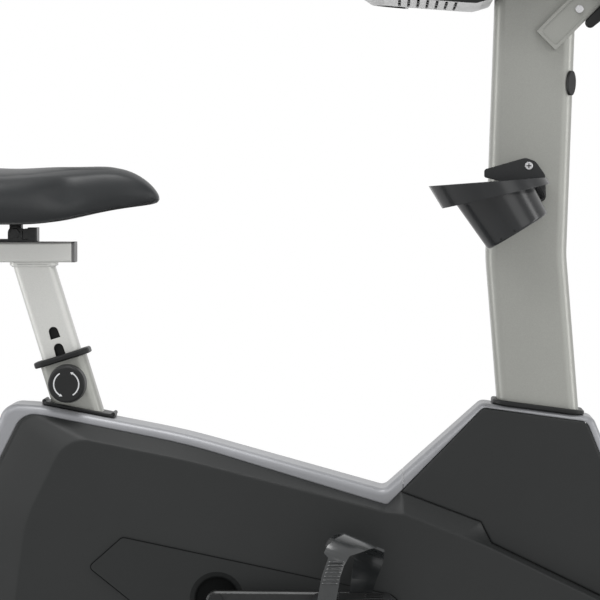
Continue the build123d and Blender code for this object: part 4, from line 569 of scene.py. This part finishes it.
def screen_glass(name, colours):
    """Dark tinted window over the display."""
    made, tree, shader, place = start_finish(name, colours.gloss, roughness=0.08)
    vary_colour(tree, shader, place, colours.gloss, spread=0.2, scale=8.0)
    vary_roughness(tree, shader, place, low=0.05, high=0.11, scale=12.0)
    shader.inputs["Coat Weight"].default_value = 0.6
    return made


def dress(names, material):
    """Gives CAD nodes a material."""
    for name in names:
        mesh = NODES[name].data
        mesh.materials.clear()
        mesh.materials.append(material)


def place_object(name, data):
    """A new object in the scene."""
    made = bpy.data.objects.new(name, data)
    bpy.context.scene.collection.objects.link(made)
    return made


def add_piece(piece, material, body):
    """Gives a new piece its material and the body that it rides on."""
    piece.data.materials.clear()
    piece.data.materials.append(material)
    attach(piece, body)


def add_form(name, form, material, body, smooth=False):
    """Makes a new piece from a bmesh."""
    add_piece(place_object(name, mesh_of(name, form, smooth)), material, body)


def mesh_of(name, form, smooth=False):
    """A mesh from a bmesh with its faces turned outward; the bmesh is freed."""
    bmesh.ops.recalc_face_normals(form, faces=form.faces[:])
    mesh = bpy.data.meshes.new(name)
    form.to_mesh(mesh)
    form.free()
    if smooth:
        mesh.shade_smooth()
    return mesh


def applied(piece):
    """Replaces a piece's mesh by what its modifiers make of it."""
    graph = bpy.context.evaluated_depsgraph_get()
    made = bpy.data.meshes.new_from_object(piece.evaluated_get(graph))
    piece.modifiers.clear()
    piece.data = made


def add_modifier(piece, name, kind, **values):
    """Adds a modifier with its values set."""
    modifier = piece.modifiers.new(name, kind)
    for key, value in values.items():
        setattr(modifier, key, value)


def unit_share(value):
    """A value held between 0 and 1."""
    return min(1.0, max(0.0, value))


def round_edges(piece, width):
    """Rounds a piece's sharp edges and keeps its flat faces flat."""
    piece.data.shade_smooth()
    add_modifier(
        piece, "edge", "BEVEL", width=width, segments=3, limit_method="ANGLE", angle_limit=radians(40),
        harden_normals=True,
    )
    applied(piece)


def copy_node(node, name):
    """A joined-up copy of a CAD node's mesh, as a loose object."""
    form = bmesh.new()
    form.from_mesh(NODES[node].data)
    bmesh.ops.remove_doubles(form, verts=form.verts[:], dist=1e-5)
    return place_object(name, mesh_of(name, form))


def surface_of(mesh):
    """A mesh's faces, ready for finding spots on them."""
    return BVHTree.FromPolygons(
        [vertex.co.copy() for vertex in mesh.vertices],
        [list(face.vertices) for face in mesh.polygons],
    )


def tube_form(form, points, radii, sides=10, closed=False):
    """Adds a round tube along points to a bmesh, with a radius for each point."""
    rings = []
    count = len(points)
    side_way = None
    for index, point in enumerate(points):
        ahead = points[(index + 1) % count] if closed or index < count - 1 else point
        behind = points[index - 1] if closed or index > 0 else point
        along = (ahead - behind).normalized()
        if side_way is None:
            side_way = along.orthogonal().normalized()
        side_way = (side_way - along * side_way.dot(along)).normalized()
        up_way = along.cross(side_way)
        ring = []
        for step in range(sides):
            turn = tau * step / sides
            spoke = side_way * cos(turn) + up_way * sin(turn)
            ring.append(form.verts.new(point + spoke * radii[index]))
        rings.append(ring)
    for index in range(count if closed else count - 1):
        here = rings[index]
        there = rings[(index + 1) % count]
        for step in range(sides):
            after = (step + 1) % sides
            form.faces.new((here[step], here[after], there[after], there[step]))
    if not closed:
        form.faces.new(rings[0])
        form.faces.new(rings[-1])


def slab_form(form, outline, low, high):
    """Adds a closed slab to a bmesh: an outline of points, moved to low and to high."""
    bottom = [form.verts.new(point + low) for point in outline]
    top = [form.verts.new(point + high) for point in outline]
    count = len(outline)
    form.faces.new(bottom)
    form.faces.new(top)
    for index in range(count):
        after = (index + 1) % count
        form.faces.new((bottom[index], bottom[after], top[after], top[index]))


def box_form(form, low, high):
    """Adds a box between two corners to a bmesh."""
    outline = [(low[0], low[1]), (high[0], low[1]), (high[0], high[1]), (low[0], high[1])]
    points = [Vector((x, y, 0.0)) for x, y in outline]
    slab_form(form, points, Vector((0.0, 0.0, low[2])), Vector((0.0, 0.0, high[2])))


class BIKE_OT_saddle(Operator):
    """Swells and shapes a vinyl cover over the saddle's foam and tucks its lower edge round the pan"""

    bl_idname = "bike.saddle"
    bl_label = "Saddle"

    # Upward part of the normal at which filling out starts, over which it grows to whole, and below
    # which a point belongs to the underside
    fill_least = -0.5
    fill_fade = 0.4
    underside = -0.3

    def execute(self, context):
        settings = context.scene.bike_saddle
        pan = surface_of(NODES["saddle_pan"].data)
        cover = copy_node("saddle_cushion", "saddle_cover")
        cushion = surface_of(cover.data)
        self.close_recess(cover, pan, settings)
        add_modifier(cover, "cells", "REMESH", mode="VOXEL", voxel_size=settings.voxel)
        add_modifier(cover, "even", "SMOOTH", factor=0.5, iterations=3)
        applied(cover)
        shares = [unit_share(vertex.normal.z + settings.sides) for vertex in cover.data.vertices]
        for vertex, share in zip(cover.data.vertices, shares):
            vertex.co -= vertex.normal * settings.shrink * share
        rest = [vertex.co.copy() for vertex in cover.data.vertices]
        self.swell(context, cover, settings)
        for vertex, start, share in zip(cover.data.vertices, rest, shares):
            move = vertex.co - start
            most = settings.cap * share
            vertex.co = start + (move if move.length <= most else move.normalized() * most)
        add_modifier(cover, "relax", "SMOOTH", factor=0.5, iterations=2)
        add_modifier(cover, "smooth", "SUBSURF", levels=1, render_levels=1)
        applied(cover)
        self.fill_out(cover, cushion)
        self.hollow_sides(cover, settings)
        add_modifier(cover, "settle", "SMOOTH", factor=0.5, iterations=1)
        applied(cover)
        self.tuck(cover, pan, settings)
        cover.data.shade_smooth()
        add_piece(cover, finish(vinyl), "saddle")
        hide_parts("saddle_cushion")
        dress(["saddle_pan"], finish(black_plastic))
        return {"FINISHED"}

    def close_recess(self, cover, pan, settings):
        """Brings the recess that holds the pan down flush with the cushion's underside."""
        for vertex in cover.data.vertices:
            spot, normal, index, gap = pan.find_nearest(vertex.co)
            if gap < settings.near and vertex.co.z > spot.z + settings.near / 4:
                vertex.co.z -= settings.recess

    def fill_out(self, cover, cushion):
        """Brings the cover's top and sides out to the cushion's own surface where they fell short."""
        for vertex in cover.data.vertices:
            spot, normal, index, gap = cushion.find_nearest(vertex.co)
            share = unit_share((vertex.normal.z - self.fill_least) / self.fill_fade)
            if (vertex.co - spot).dot(normal) < 0.0:
                vertex.co = vertex.co.lerp(spot, share)

    def hollow_sides(self, cover, settings):
        """Draws both sides in above the rim, where the wide tail meets the narrow nose."""
        low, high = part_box("saddle_cushion")
        middle = low.x + settings.waist_place * (high.x - low.x)
        for vertex in cover.data.vertices:
            along = (vertex.co.x - middle) / settings.waist_length
            height = (vertex.co.z - low.z) / (high.z - low.z)
            rise = unit_share((height - settings.rim) / settings.waist_rise)
            inward = settings.waist * exp(-along * along) * rise * rise * (3.0 - 2.0 * rise)
            side = min(1.0, max(-1.0, vertex.co.y / settings.waist_length))
            vertex.co.y -= side * inward

    def tuck(self, cover, pan, settings):
        """Lifts the cover's underside over the pan, so that only its rim hangs round it."""
        down = Vector((0.0, 0.0, -1.0))
        reach = 5 * settings.recess
        for vertex in cover.data.vertices:
            if vertex.normal.z > self.underside:
                continue
            spot, normal, index, gap = pan.ray_cast(vertex.co - down * reach, down, 2 * reach)
            if spot is not None:
                vertex.co.z = max(vertex.co.z, spot.z + settings.near / 2)

    def swell(self, context, cover, settings):
        """Runs the cloth under pressure and keeps its last shape."""
        cloth = cover.modifiers.new("swell", "CLOTH")
        cloth.settings.use_pressure = True
        cloth.settings.uniform_pressure_force = settings.pressure
        cloth.settings.effector_weights.gravity = 0.0
        cloth.point_cache.frame_start = 1
        cloth.point_cache.frame_end = settings.frames
        for step in range(1, settings.frames + 1):
            context.scene.frame_set(step)
        applied(cover)
        context.scene.frame_set(1)


class BIKE_OT_pull_knob(Operator):
    """Finishes the seat post's pull knob and prints two turning arrows on it"""

    bl_idname = "bike.pull_knob"
    bl_label = "Pull knob"

    def execute(self, context):
        settings = context.scene.bike_knob
        dress(["seat_knob"], finish(black_plastic))
        low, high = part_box("seat_knob")
        centre = Vector(((low.x + high.x) / 2, low.y, (low.z + high.z) / 2))
        form = bmesh.new()
        for turn in (pi / 2, -pi / 2):
            self.arrow(form, centre, turn, settings)
        add_form("knob_arrows", form, finish(marking_ink), "seat_knob")
        return {"FINISHED"}

    def arrow(self, form, centre, turn, settings):
        """Adds one curved arrow, a raised print of ink."""
        low = Vector((0.0, PRINT_IN, 0.0))
        high = Vector((0.0, -PRINT_OUT, 0.0))
        half = settings.line / 2
        steps = 24

        def spot(angle, radius):
            return centre + Vector((cos(angle) * radius, 0.0, sin(angle) * radius))

        start = turn + pi / 2 - settings.sweep / 2
        angles = [start + settings.sweep * step / steps for step in range(steps + 1)]
        outer = [spot(angle, settings.ring + half) for angle in angles]
        inner = [spot(angle, settings.ring - half) for angle in reversed(angles)]
        slab_form(form, outer + inner, low, high)
        tip = angles[-1] + settings.head_length * half / settings.ring
        wide = settings.head_half * half
        head = [
            spot(angles[-1], settings.ring + wide),
            spot(tip, settings.ring),
            spot(angles[-1], settings.ring - wide),
        ]
        slab_form(form, head, low, high)


class BIKE_OT_pedals(Operator):
    """Finishes both pedals and gives them rounded, ribbed rubber straps"""

    bl_idname = "bike.pedals"
    bl_label = "Pedals and straps"

    def execute(self, context):
        settings = context.scene.bike_strap
        dress(["right_pedal", "left_pedal"], finish(black_plastic))
        for side in ("right", "left"):
            strap = copy_node(side + "_strap", side + "_strap_rubber")
            round_edges(strap, settings.edge)
            add_piece(strap, finish(strap_rubber), side + "_pedal")
            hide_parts(side + "_strap")
            self.ribs(side, settings)
        return {"FINISHED"}

    def ribs(self, side, settings):
        """Moulds grip ribs on the outer leg of a strap, following the leg's lean."""
        low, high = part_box(side + "_strap")
        outward = Vector((0.0, -1.0 if side == "right" else 1.0, 0.0))
        face = low.y if side == "right" else high.y
        pedal_low, pedal_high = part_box(side + "_pedal")
        middle = (pedal_low.x + pedal_high.x) / 2
        first = pedal_high.z + settings.first
        form = bmesh.new()
        for step in range(settings.ribs):
            rise = first + step * settings.pitch
            lean = settings.lean * (rise - first)
            start = Vector((middle - settings.reach + lean, face, rise))
            end = start + Vector((settings.rib_length, 0.0, 0.0))
            self.rib(form, start, end, outward, settings)
        add_form(side + "_strap_ribs", form, finish(strap_rubber), side + "_pedal", True)

    def rib(self, form, start, end, outward, settings):
        """Adds one low rounded bar to a bmesh."""
        half = settings.rib / 2
        flat = half * settings.crown
        root = -settings.rib_root
        rise = settings.rib_rise
        profile = [(-half, root), (-flat, rise), (flat, rise), (half, root)]
        outline = [Vector((0.0, 0.0, across)) + outward * out for across, out in profile]
        slab_form(form, outline, start, end)


class BIKE_OT_base(Operator):
    """Finishes the rail, stabilizers, caps, levelling feet and transport wheels"""

    bl_idname = "bike.base"
    bl_label = "Base"

    def execute(self, context):
        dress(["base_rail", "rear_stabilizer", "front_stabilizer"], finish(silver_paint))
        dress(["end_caps"], finish(black_plastic))
        feet = [end + side + "_foot" for end in ("rear_", "front_") for side in ("right", "left")]
        dress(feet + ["right_wheel", "left_wheel"], finish(rubber))
        return {"FINISHED"}


class BIKE_OT_housing(Operator):
    """Finishes the shells, covers and trim bands of the housing"""

    bl_idname = "bike.housing"
    bl_label = "Housing"

    def execute(self, context):
        shells = ["right_shell", "left_shell", "right_front_cover", "left_front_cover"]
        dress(shells, finish(shell_plastic))
        dress(["crank_covers"], finish(cover_plastic))
        dress(["rear_trim", "front_trim"], finish(trim_plastic))
        return {"FINISHED"}


class BIKE_OT_seat_tubes(Operator):
    """Finishes the seat tubes and the saddle slide, and adds a dark strip of painted shade inside the
    post and the clamp's webs
    """

    bl_idname = "bike.seat_tubes"
    bl_label = "Seat tubes"

    def execute(self, context):
        dress(["seat_tube"], finish(silver_paint))
        dress(["seat_post", "slide_tube"], finish(bright_paint))
        dress(["seat_collar", "seat_boot", "slide_knob"], finish(black_plastic))
        dress(["saddle_carriage"], finish(gunmetal))
        dress(["slide_caps"], finish(cap_plastic))
        settings = context.scene.bike_seat
        self.liner(settings)
        self.webs(settings)
        return {"FINISHED"}

    def liner(self, settings):
        """A dark strip inside the post, behind its row of holes: painted shade, so that the holes look
        dark inside.
        """
        low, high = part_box("seat_post")
        top = Vector((low.x + bpy.context.scene.bike_welds.plate_half, 0.0, high.z))
        down = Vector((sin(settings.lean), 0.0, -cos(settings.lean)))
        across = Vector((cos(settings.lean), 0.0, sin(settings.lean))) * settings.liner_half
        start = top + down * settings.liner_top
        end = top + down * settings.liner_bottom
        face = Vector((0.0, low.y + settings.liner_depth, 0.0))
        form = bmesh.new()
        outline = [start - across, start + across, end + across, end - across]
        slab_form(form, outline, face, face + Vector((0.0, settings.liner_thick, 0.0)))
        add_form("post_liner", form, finish(black_plastic), "seat_post")

    def webs(self, settings):
        """Plates that join the saddle clamp's ears to its front block."""
        low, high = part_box("saddle_carriage")
        back = high.x - settings.web_back
        top = high.z - settings.web_drop
        form = bmesh.new()
        for side in (-1.0, 1.0):
            edges = sorted((side * settings.web_inside, side * settings.web_outside))
            box_form(
                form,
                (back, edges[0], top - settings.web_height),
                (back + settings.web_length, edges[1], top),
            )
        add_form("clamp_webs", form, finish(gunmetal), "saddle_carriage")


class BIKE_OT_drive(Operator):
    """Finishes the drive inside the housing: bearings, pulleys, belt, flywheel and brake"""

    bl_idname = "bike.drive"
    bl_label = "Drive"

    def execute(self, context):
        dress(["bearings", "crank_axle", "flywheel_axle", "drive_pulley"], finish(steel))
        dress(["drive_frame", "magnet_arm"], finish(gunmetal))
        dress(["drive_belt"], finish(rubber))
        dress(["idler_roller", "brake_motor"], finish(black_plastic))
        dress(["flywheel"], finish(cast_iron))
        return {"FINISHED"}


class BIKE_OT_cranks(Operator):
    """Finishes the crank arms, their caps and the pedal spindles"""

    bl_idname = "bike.cranks"
    bl_label = "Cranks"

    def execute(self, context):
        dress(["right_crank_arm", "left_crank_arm"], finish(gunmetal))
        dress(["crank_caps"], finish(black_plastic))
        dress(["pedal_spindles"], finish(steel))
        return {"FINISHED"}


class BIKE_OT_mast(Operator):
    """Finishes the mast, its foot gasket and cable plug"""

    bl_idname = "bike.mast"
    bl_label = "Mast"

    def execute(self, context):
        dress(["mast"], finish(silver_paint))
        dress(["mast_seals"], finish(black_plastic))
        return {"FINISHED"}


class BIKE_OT_bottle_holder(Operator):
    """Finishes the bottle cup and its bracket, with dark boxes of painted shade for two drain notches
    and for the cross in the screw
    """

    bl_idname = "bike.bottle_holder"
    bl_label = "Bottle holder"

    # Places of the notches across the cup, from its middle
    notch_places = (-0.004, -0.0235)

    def execute(self, context):
        dress(["bottle_cup", "bottle_bracket"], finish(gloss_plastic))
        settings = context.scene.bike_bottle
        form = bmesh.new()
        for along in self.notch_places:
            self.notch(form, along, settings)
        add_form("drain_notches", form, finish(black_plastic), "frame")
        self.cross(settings)
        return {"FINISHED"}

    def cross(self, settings):
        """Two crossed dark slabs in the bracket's screw: painted shade of its cross recess."""
        form = bmesh.new()
        place = Vector(settings.screw)
        long_side = settings.slot / 2
        short_side = settings.slot / 9
        for half_x, half_z in ((long_side, short_side), (short_side, long_side)):
            box_form(
                form,
                place + Vector((-half_x, -SHADE_MARK_OUT, -half_z)),
                place + Vector((half_x, SHADE_MARK_IN, half_z)),
            )
        add_form("screw_cross", form, finish(black_plastic), "frame")

    def notch(self, form, along, settings):
        """Adds one dark box to the cup's wall, near its foot: painted shade standing in for a drain
        notch.
        """
        across = Vector((cos(settings.tilt), 0.0, sin(settings.tilt)))
        axis = Vector((-sin(settings.tilt), 0.0, cos(settings.tilt)))
        foot = Vector((settings.foot_x, settings.foot_y, settings.foot_z))
        out = -((settings.radius**2 - along**2) ** 0.5)
        spoke = across * along + Vector((0.0, out, 0.0))
        outward = spoke.normalized()
        sideward = outward.cross(axis)
        middle = foot + spoke + axis * settings.notch * settings.notch_rise
        half = settings.notch / 2
        outline = [
            middle + sideward * (half * step_side) + axis * (half * step_up)
            for step_side, step_up in ((-1, -1), (1, -1), (1, 1), (-1, 1))
        ]
        slab_form(form, outline, outward * -settings.notch_depth, outward * settings.notch_proud)


class BIKE_OT_handlebar(Operator):
    """Finishes the handlebar, its bracket, clamp lever and foam grips"""

    bl_idname = "bike.handlebar"
    bl_label = "Handlebar"

    def execute(self, context):
        dress(["handlebar_bracket"], finish(silver_paint))
        dress(["handlebar"], finish(gunmetal))
        dress(["clamp_lever"], finish(black_plastic))
        grips = copy_node("grips", "grip_sleeves")
        round_edges(grips, context.scene.bike_strap.edge)
        add_piece(grips, finish(foam), "handlebar")
        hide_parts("grips")
        return {"FINISHED"}


class BIKE_OT_console(Operator):
    """Finishes the console, its band, window and keys, and prints plain signs on them"""

    bl_idname = "bike.console"
    bl_label = "Console"

    def execute(self, context):
        settings = context.scene.bike_console
        dress(["console_housing"], finish(console_plastic))
        dress(["console_band"], finish(band_plastic))
        dress(["console_screen"], finish(screen_glass))
        dress(["start_key", "stop_key"], finish(gloss_plastic))
        self.outward = Vector((-sin(settings.slope), 0.0, cos(settings.slope)))
        self.upward = Vector((cos(settings.slope), 0.0, sin(settings.slope)))
        self.rightward = Vector((0.0, -1.0, 0.0))
        self.signs(settings)
        self.graph(settings)
        self.vents(settings)
        return {"FINISHED"}

    def signs(self, settings):
        """A triangle on the start key and a square on the stop key."""
        side = settings.sign / 2
        back = -0.8 * side
        arrow = [(back, -side), (back, side), (side, 0.0)]
        block = [(-side, -side), (-side, side), (side, side), (side, -side)]
        for key, outline in (("start_key", arrow), ("stop_key", block)):
            form = bmesh.new()
            self.print_on(form, key, outline)
            add_form(key + "_sign", form, finish(marking_ink), key)

    def graph(self, settings):
        """Bars of the display that rise and fall in waves."""
        form = bmesh.new()
        foot = -settings.bar_high
        for index in range(settings.bars):
            across = (index - (settings.bars - 1) / 2) * settings.bar_pitch
            wave = 0.5 - 0.5 * cos(tau * settings.waves * index / settings.bars)
            head = foot + settings.bar_low + (settings.bar_high - settings.bar_low) * wave
            left = across - settings.bar_width / 2
            right = across + settings.bar_width / 2
            bar = [(left, foot), (left, head), (right, head), (right, foot)]
            self.print_on(form, "console_screen", bar)
        add_form("effort_graph", form, finish(display_ink), "frame")

    def vents(self, settings):
        """Dark strips of painted shade that carry the vent slots on across the middle of the band."""
        form = bmesh.new()
        half = settings.vent_half
        for index in range(settings.vents):
            start = settings.vent_start + index * settings.vent_pitch - settings.vent_width / 2
            points = []
            for x in (start, start + settings.vent_width):
                z = settings.tray_z - settings.tray_fall * (x - settings.tray_x)
                points.append(Vector((x, -half, z)))
            points += [Vector((point.x, half, point.z)) for point in reversed(points)]
            slab_form(form, points, Vector((0.0, 0.0, -SHADE_MARK_OUT)), Vector((0.0, 0.0, SHADE_MARK_IN)))
        add_form("vent_strips", form, finish(black_plastic), "frame")

    def print_on(self, form, node, outline):
        """Adds a thin printed shape to the middle of a node's sloping face."""
        middle, reach = self.face_of(node)
        points = [middle + self.rightward * across + self.upward * up for across, up in outline]
        low = self.outward * (reach - PRINT_IN)
        high = self.outward * (reach + PRINT_OUT)
        slab_form(form, points, low, high)

    def face_of(self, node):
        """The middle of a node and how far its face lies in front of it."""
        places = [vertex.co for vertex in NODES[node].data.vertices]
        low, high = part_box(node)
        middle = (low + high) / 2
        return middle, max((place - middle).dot(self.outward) for place in places)


class BIKE_OT_fasteners(Operator):
    """Finishes the screws and bolts"""

    bl_idname = "bike.fasteners"
    bl_label = "Fasteners"

    def execute(self, context):
        dress(["fasteners"], finish(steel))
        return {"FINISHED"}


class BIKE_OT_welds(Operator):
    """Lays weld beads under the saddle slide and where the rail sits on the stabilizers"""

    bl_idname = "bike.welds"
    bl_label = "Welds"

    def execute(self, context):
        settings = context.scene.bike_welds
        low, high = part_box("seat_post")
        middle = Vector((low.x + settings.plate_half, 0.0, high.z - settings.plate))
        form = bmesh.new()
        self.bead(form, self.round_path(middle, settings), settings, True)
        add_form("post_weld", form, finish(bright_paint), "seat_post", True)
        rail_low, rail_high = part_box("base_rail")
        form = bmesh.new()
        for stabilizer in ("rear_stabilizer", "front_stabilizer"):
            low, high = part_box(stabilizer)
            start = max(low.x, rail_low.x) + 2 * settings.bead
            end = min(high.x, rail_high.x) - 2 * settings.bead
            for y in (rail_low.y, rail_high.y):
                steps = int((end - start) / settings.ripple)
                pitch = (end - start) / steps
                path = [Vector((start + pitch * step, y, rail_low.z)) for step in range(steps + 1)]
                self.bead(form, path, settings, False)
        add_form("rail_welds", form, finish(silver_paint), "frame", True)
        return {"FINISHED"}

    def round_path(self, middle, settings):
        """Points round the seat post, a rectangle with rounded corners."""
        points = []
        steps = 4
        for corner in range(4):
            sign_x = 1.0 if corner in (0, 3) else -1.0
            sign_y = 1.0 if corner in (0, 1) else -1.0
            hub_x = sign_x * (settings.post_depth - settings.corner)
            hub_y = sign_y * (settings.post_half - settings.corner)
            for step in range(steps + 1):
                turn = pi / 2 * (corner + step / steps)
                spot_x = hub_x + settings.corner * cos(turn)
                spot_y = hub_y + settings.corner * sin(turn)
                points.append(middle + Vector((spot_x, spot_y, 0.0)))
        return self.evenly(points + points[:1], settings.ripple)[:-1]

    def evenly(self, points, pitch):
        """Points at an even pitch along a path."""
        placed = [points[0]]
        for start, end in zip(points, points[1:]):
            count = max(1, round((end - start).length / pitch))
            placed += [start.lerp(end, step / count) for step in range(1, count + 1)]
        return placed

    def bead(self, form, path, settings, closed):
        """Adds a bead, a tube of small overlapping ripples."""
        ripples = [settings.bead * (1.0 if index % 2 else settings.dip) for index in range(len(path))]
        tube_form(form, path, ripples, closed=closed)


class BIKE_OT_stage(Operator):
    """Sets the floor, the lamps, the white surroundings and the camera"""

    bl_idname = "bike.stage"
    bl_label = "Stage"

    # Name, place, width and height of each lamp, and the setting that holds its power
    lamps = (
        ("key_lamp", (-2.0, -3.3, 3.2), (1.6, 1.6), "key"),
        ("fill_lamp", (2.4, -3.4, 1.4), (2.0, 2.0), "fill"),
        ("top_lamp", (0.0, -0.8, 3.4), (1.3, 1.3), "top"),
        ("rear_strip", (-2.6, -0.5, 1.0), (0.7, 2.0), "side"),
        ("front_strip", (2.8, -0.5, 1.0), (0.7, 2.0), "side"),
    )

    def execute(self, context):
        settings = context.scene.bike_stage
        context.scene.view_settings.view_transform = "Standard"
        self.floor(settings)
        self.surroundings(context, settings)
        for name, place, size, strength in self.lamps:
            self.lamp(name, place, size, getattr(settings, strength), settings.middle)
        camera = place_object("camera", bpy.data.cameras.new("camera"))
        place = Vector((settings.aside, -settings.distance, settings.height))
        aim = self.point(camera, place, settings.aim)
        camera.data.lens = camera.data.sensor_width * aim.length / settings.width
        camera.data.clip_end = 100.0
        context.scene.camera = camera
        return {"FINISHED"}

    def point(self, holder, place, height):
        """Places a camera or lamp and points it at a height over the bike's origin."""
        holder.location = place
        aim = Vector((0.0, 0.0, height)) - holder.location
        holder.rotation_euler = aim.to_track_quat("-Z", "Y").to_euler()
        return aim

    def floor(self, settings):
        """A pale round floor."""
        form = bmesh.new()
        bmesh.ops.create_circle(form, cap_ends=True, segments=96, radius=settings.floor)
        floor = place_object("floor", mesh_of("floor", form, True))
        made, tree, shader, place = start_finish("pale_floor", settings.pale, roughness=0.7)
        vary_colour(tree, shader, place, settings.pale, spread=0.015, scale=3.0)
        floor.data.materials.append(made)

    def surroundings(self, context, settings):
        """Soft light all round, seen as plain white."""
        world = bpy.data.worlds.new("studio")
        context.scene.world = world
        world.use_nodes = True
        tree = world.node_tree
        backdrop = tree.nodes["Background"]
        soft = add_node(tree, "ShaderNodeBackground", Strength=settings.sky)
        for light in (backdrop, soft):
            light.inputs["Color"].default_value = (1.0, 1.0, 1.0, 1.0)
        rays = tree.nodes.new("ShaderNodeLightPath").outputs
        seen = rays["Is Camera Ray"]
        for kind in ("Is Glossy Ray", "Is Transmission Ray"):
            seen = sum_of(tree, "MAXIMUM", seen, rays[kind])
        mix = tree.nodes.new("ShaderNodeMixShader")
        tree.links.new(seen, mix.inputs["Fac"])
        tree.links.new(soft.outputs["Background"], mix.inputs[1])
        tree.links.new(backdrop.outputs["Background"], mix.inputs[2])
        tree.links.new(mix.outputs["Shader"], tree.nodes["World Output"].inputs["Surface"])

    def lamp(self, name, place, size, strength, height):
        """A soft lamp of a given width and height that points at the bike's middle."""
        lamp = bpy.data.lights.new(name, "AREA")
        lamp.shape = "RECTANGLE"
        lamp.size, lamp.size_y = size
        lamp.energy = strength
        self.point(place_object(name, lamp), place, height)


PIECES = (
    BIKE_OT_base,
    BIKE_OT_housing,
    BIKE_OT_seat_tubes,
    BIKE_OT_saddle,
    BIKE_OT_pull_knob,
    BIKE_OT_drive,
    BIKE_OT_cranks,
    BIKE_OT_pedals,
    BIKE_OT_mast,
    BIKE_OT_bottle_holder,
    BIKE_OT_handlebar,
    BIKE_OT_console,
    BIKE_OT_fasteners,
    BIKE_OT_welds,
    BIKE_OT_stage,
)


class BIKE_PT_dressing(Panel):
    """Settings, and a button for each group of pieces"""

    bl_idname = "BIKE_PT_dressing"
    bl_label = "Exercise Bike"
    bl_space_type = "VIEW_3D"
    bl_region_type = "UI"
    bl_category = "Exercise Bike"

    def draw(self, context):
        for name, group in SETTINGS.items():
            rows = self.layout.box()
            rows.label(text=group.__doc__)
            for setting in group.__annotations__:
                rows.prop(getattr(context.scene, name), setting)
        for piece in PIECES:
            self.layout.operator(piece.bl_idname)


SETTINGS = {
    "bike_colours": BikeColours,
    "bike_saddle": BikeSaddle,
    "bike_knob": BikeKnob,
    "bike_strap": BikeStrap,
    "bike_seat": BikeSeat,
    "bike_bottle": BikeBottle,
    "bike_welds": BikeWelds,
    "bike_console": BikeConsole,
    "bike_stage": BikeStage,
}


def register():
    """Adds the settings, operators and panel."""
    for name, group in SETTINGS.items():
        bpy.utils.register_class(group)
        setattr(bpy.types.Scene, name, PointerProperty(type=group))
    for piece in PIECES:
        bpy.utils.register_class(piece)
    bpy.utils.register_class(BIKE_PT_dressing)


def unregister():
    """Takes the settings, operators and panel away."""
    bpy.utils.unregister_class(BIKE_PT_dressing)
    for piece in reversed(PIECES):
        bpy.utils.unregister_class(piece)
    for name, group in SETTINGS.items():
        delattr(bpy.types.Scene, name)
        bpy.utils.unregister_class(group)


def main():
    """Dresses the bike piece by piece."""
    register()
    bpy.ops.bike.base()
    bpy.ops.bike.housing()
    bpy.ops.bike.seat_tubes()
    bpy.ops.bike.saddle()
    bpy.ops.bike.pull_knob()
    bpy.ops.bike.drive()
    bpy.ops.bike.cranks()
    bpy.ops.bike.pedals()
    bpy.ops.bike.mast()
    bpy.ops.bike.bottle_holder()
    bpy.ops.bike.handlebar()
    bpy.ops.bike.console()
    bpy.ops.bike.fasteners()
    bpy.ops.bike.welds()
    bpy.ops.bike.stage()


if __name__ == "__main__":
    main()
